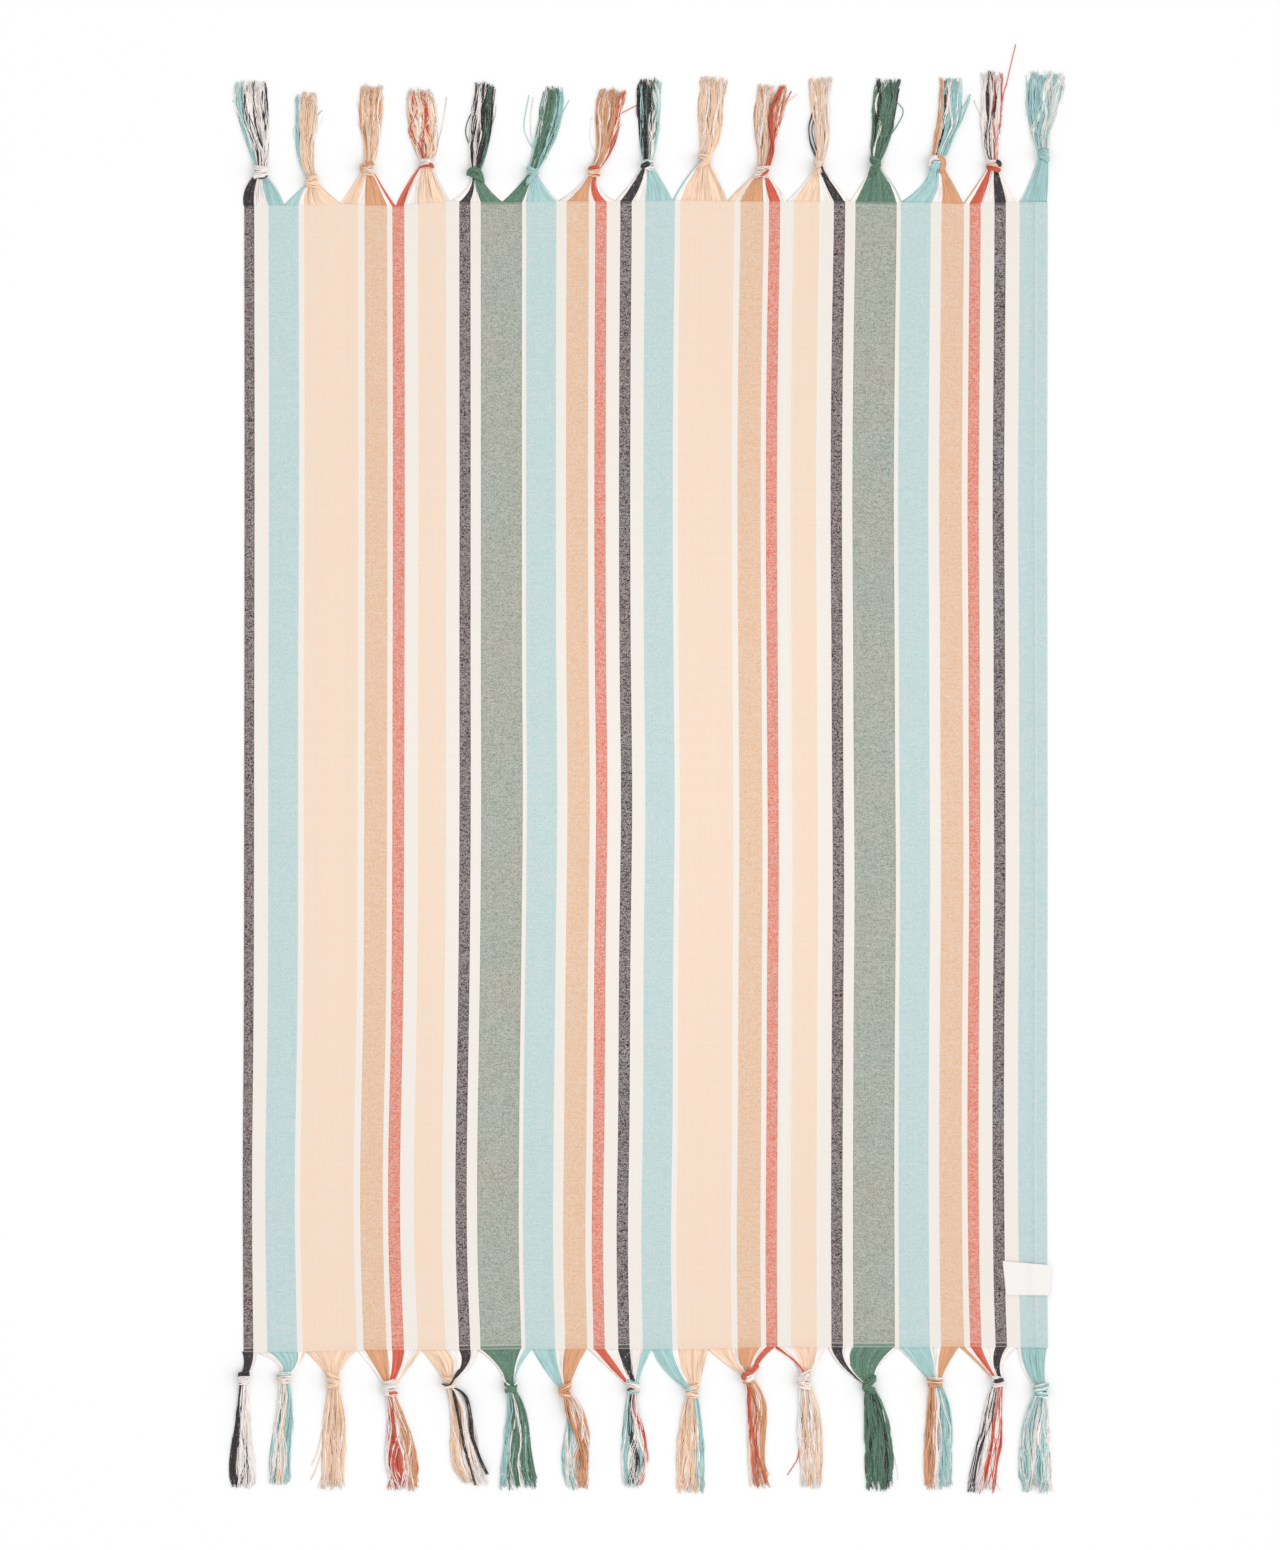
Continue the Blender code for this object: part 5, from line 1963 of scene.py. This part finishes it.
@dataclass
class TasselMaker:
    """Knots tassels: a web of warp yarns, a knot of wrapped yarns and a loose tail."""

    web: Web
    material: bpy.types.Material
    knot: Knot = Knot()
    tail: Tail = Tail()

    def build(self, end: End, number: int, row: Row) -> bpy.types.Object:
        """Knot one tassel.

        Args:
            end: the end of the cloth.
            number: its number from the left.
            row: its readings.

        Returns:
            One mesh object, which stands for its CAD node.
        """
        rng = np.random.default_rng(1000 * (end.value + 2) + number)
        left, right = end.notches[number - 1], end.notches[number]
        bundles = self.web.bundles(row, end, left, right, rng)
        bundles.append(self.knot.rings(row, rng))
        bundles.extend(self.tail.bundles(row, rng))
        bundles.append(self.tail.fuzz(bundles[-1], rng))
        for loose in LOOSE:
            if (loose.end, loose.number) == (end, number):
                bundles.append(strand(loose, rng))
        for turn in TURNS:
            if (turn.end, turn.number) == (end, number):
                bundles.append(self.knot.turn(row, turn, rng))
        yarns = Yarns(self.material)
        for bundle in bundles:
            yarns.add(bundle.facing(end))
        item = yarns.build(f"fringe_{end.name.lower()}_{number:02d}")
        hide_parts(f"tassel_{end.name.lower()}_{number:02d}")
        return item


@dataclass
class Label:
    """The sewn label: a closed sheet, bilinear between its corners, that climbs onto the hem.

    Its underside lies over the cloth's face by the gap and a little more, with a smooth step of
    1 mm up to the hem. It curls up by a sixth power towards its top and by an eighth at its foot.
    """

    cloth: Cloth
    left_top: tuple = (428.0, -581.5)
    right_top: tuple = (485.5, -586.5)
    left_foot: tuple = (432.0, -623.0)
    right_foot: tuple = (484.5, -623.0)
    columns: int = 40
    rows: int = 26
    thick: float = 0.6
    gap: float = 0.3
    slack: float = 0.35
    climb_from: float = 11.0        # where the climb starts, before the hem's line
    climb_long: float = 9.0
    curl: float = 1.6
    foot_curl: float = 0.6
    finish: TapeFinish = TapeFinish()

    def build(self) -> bpy.types.Object:
        """Cut the tape and lay it on the cloth.

        Returns:
            Its object, which stands for the CAD node of the label.
        """
        u, v = np.meshgrid(np.linspace(0, 1, self.columns), np.linspace(0, 1, self.rows))
        corners = (self.left_foot, self.right_foot, self.left_top, self.right_top)
        foot_left, foot_right, head_left, head_right = (np.array(corner) for corner in corners)
        foot = foot_left + (foot_right - foot_left) * u[..., None]
        head = head_left + (head_right - head_left) * u[..., None]
        place = foot + (head - foot) * v[..., None]
        x, y = place[..., 0], place[..., 1]
        hem = self.cloth.x_at(np.full_like(x, self.cloth.wide - self.cloth.hem_wide), y)
        climb = smooth_step((x - hem + self.climb_from) / self.climb_long)
        under = self.cloth.thick + self.gap + climb + self.slack
        lift = self.curl * (0.35 + 0.65 * u) * v**6 + self.foot_curl * (1 - v) ** 8 * u
        low = np.stack([x, y, under + lift], axis=2) * MM
        high = low + np.array([0.0, 0.0, self.thick * MM])
        maps = {"warp": np.stack([x, y], axis=2) * MM}
        item = closed_sheet("label_tape", low, high, maps, self.finish.material())
        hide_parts("label")
        return item


@dataclass(frozen=True)
class Studio:
    """Pale floor, white surroundings, a wide sun, a soft lamp over the towel, and the camera."""

    frame_x: float = -6.9
    frame_y: float = 1.2
    distance: float = 6975.0
    lens: float = 135.0
    sensor: float = 36.0
    clip_end: float = 50.0
    world: float = 0.93
    sun: float = 0.88
    sun_from: tuple = (0.80, -0.10, 0.57)
    sun_spread: float = 50.0
    lamp: float = 0.45
    lamp_place: tuple = (90.0, 0.0, 750.0)
    lamp_size: float = 500.0
    floor_reach: float = 30.0       # in metres
    floor: PaperFinish = PaperFinish()

    def build(self) -> None:
        """Set the surroundings, the floor, the lights and the camera."""
        scene = bpy.context.scene
        scene.view_settings.view_transform = "Standard"
        world = bpy.data.worlds.new("studio")
        world.use_nodes = True
        background = world.node_tree.nodes["Background"]
        background.inputs["Color"].default_value = (1.0, 1.0, 1.0, 1.0)
        background.inputs["Strength"].default_value = self.world
        scene.world = world
        self.add("floor", self.floor_mesh())
        self.light()
        self.camera()

    def add(self, name: str, data: bpy.types.ID) -> bpy.types.Object:
        """Add an object to the scene.

        Args:
            name: its name.
            data: its mesh, light or camera.

        Returns:
            The object.
        """
        item = bpy.data.objects.new(name, data)
        bpy.context.scene.collection.objects.link(item)
        return item

    def floor_mesh(self) -> bpy.types.Mesh:
        """Cut one square of paper on z = 0, with its finish.

        Returns:
            Its mesh.
        """
        reach = self.floor_reach
        corners = [(-reach, -reach, 0), (reach, -reach, 0), (reach, reach, 0), (-reach, reach, 0)]
        mesh = bpy.data.meshes.new("floor")
        mesh.from_pydata(corners, [], [(0, 1, 2, 3)])
        mesh.materials.append(self.floor.material())
        return mesh

    def light(self) -> None:
        """Hang the soft lamp and set the sun."""
        box = bpy.data.lights.new("soft_box", "AREA")
        box.shape = "DISK"
        box.size = self.lamp_size * MM
        box.energy = self.lamp
        lamp = self.add("soft_box", box)
        lamp.location = np.array(self.lamp_place) * MM
        lamp.visible_camera = False
        key = bpy.data.lights.new("window", "SUN")
        key.energy = self.sun
        key.angle = math.radians(self.sun_spread)
        window = self.add("window", key)
        window.rotation_euler = Vector(self.sun_from).to_track_quat("Z", "Y").to_euler()

    def camera(self) -> None:
        """Hold the camera straight above."""
        data = bpy.data.cameras.new("camera")
        data.lens = self.lens
        data.sensor_fit = "VERTICAL"
        data.sensor_height = self.sensor
        data.sensor_width = self.sensor
        data.clip_end = self.clip_end
        camera = self.add("camera", data)
        camera.location = (self.frame_x * MM, self.frame_y * MM, self.distance * MM)
        bpy.context.scene.camera = camera


def main() -> None:
    """Build the studio and the towel, piece by piece."""
    logging.basicConfig(level=logging.INFO, format="%(name)s: %(message)s")
    Studio().build()
    cloth = Cloth()
    panel = cloth.build()
    LOG.info("cloth: %d faces", len(panel.data.polygons))
    material = YarnFinish().material()
    pieces = [HemStitches(cloth).build(material)]
    maker = TasselMaker(Web(cloth), material)
    for end, rows in ((End.TOP, TOP_ROWS), (End.BOTTOM, BOTTOM_ROWS)):
        for number, row in enumerate(rows, start=1):
            item = maker.build(end, number, row)
            pieces.append(item)
            LOG.info("%s: %d faces", item.name, len(item.data.polygons))
    label = Label(cloth).build()
    LOG.info("label: %d faces", len(label.data.polygons))


if __name__ == "__main__":
    main()
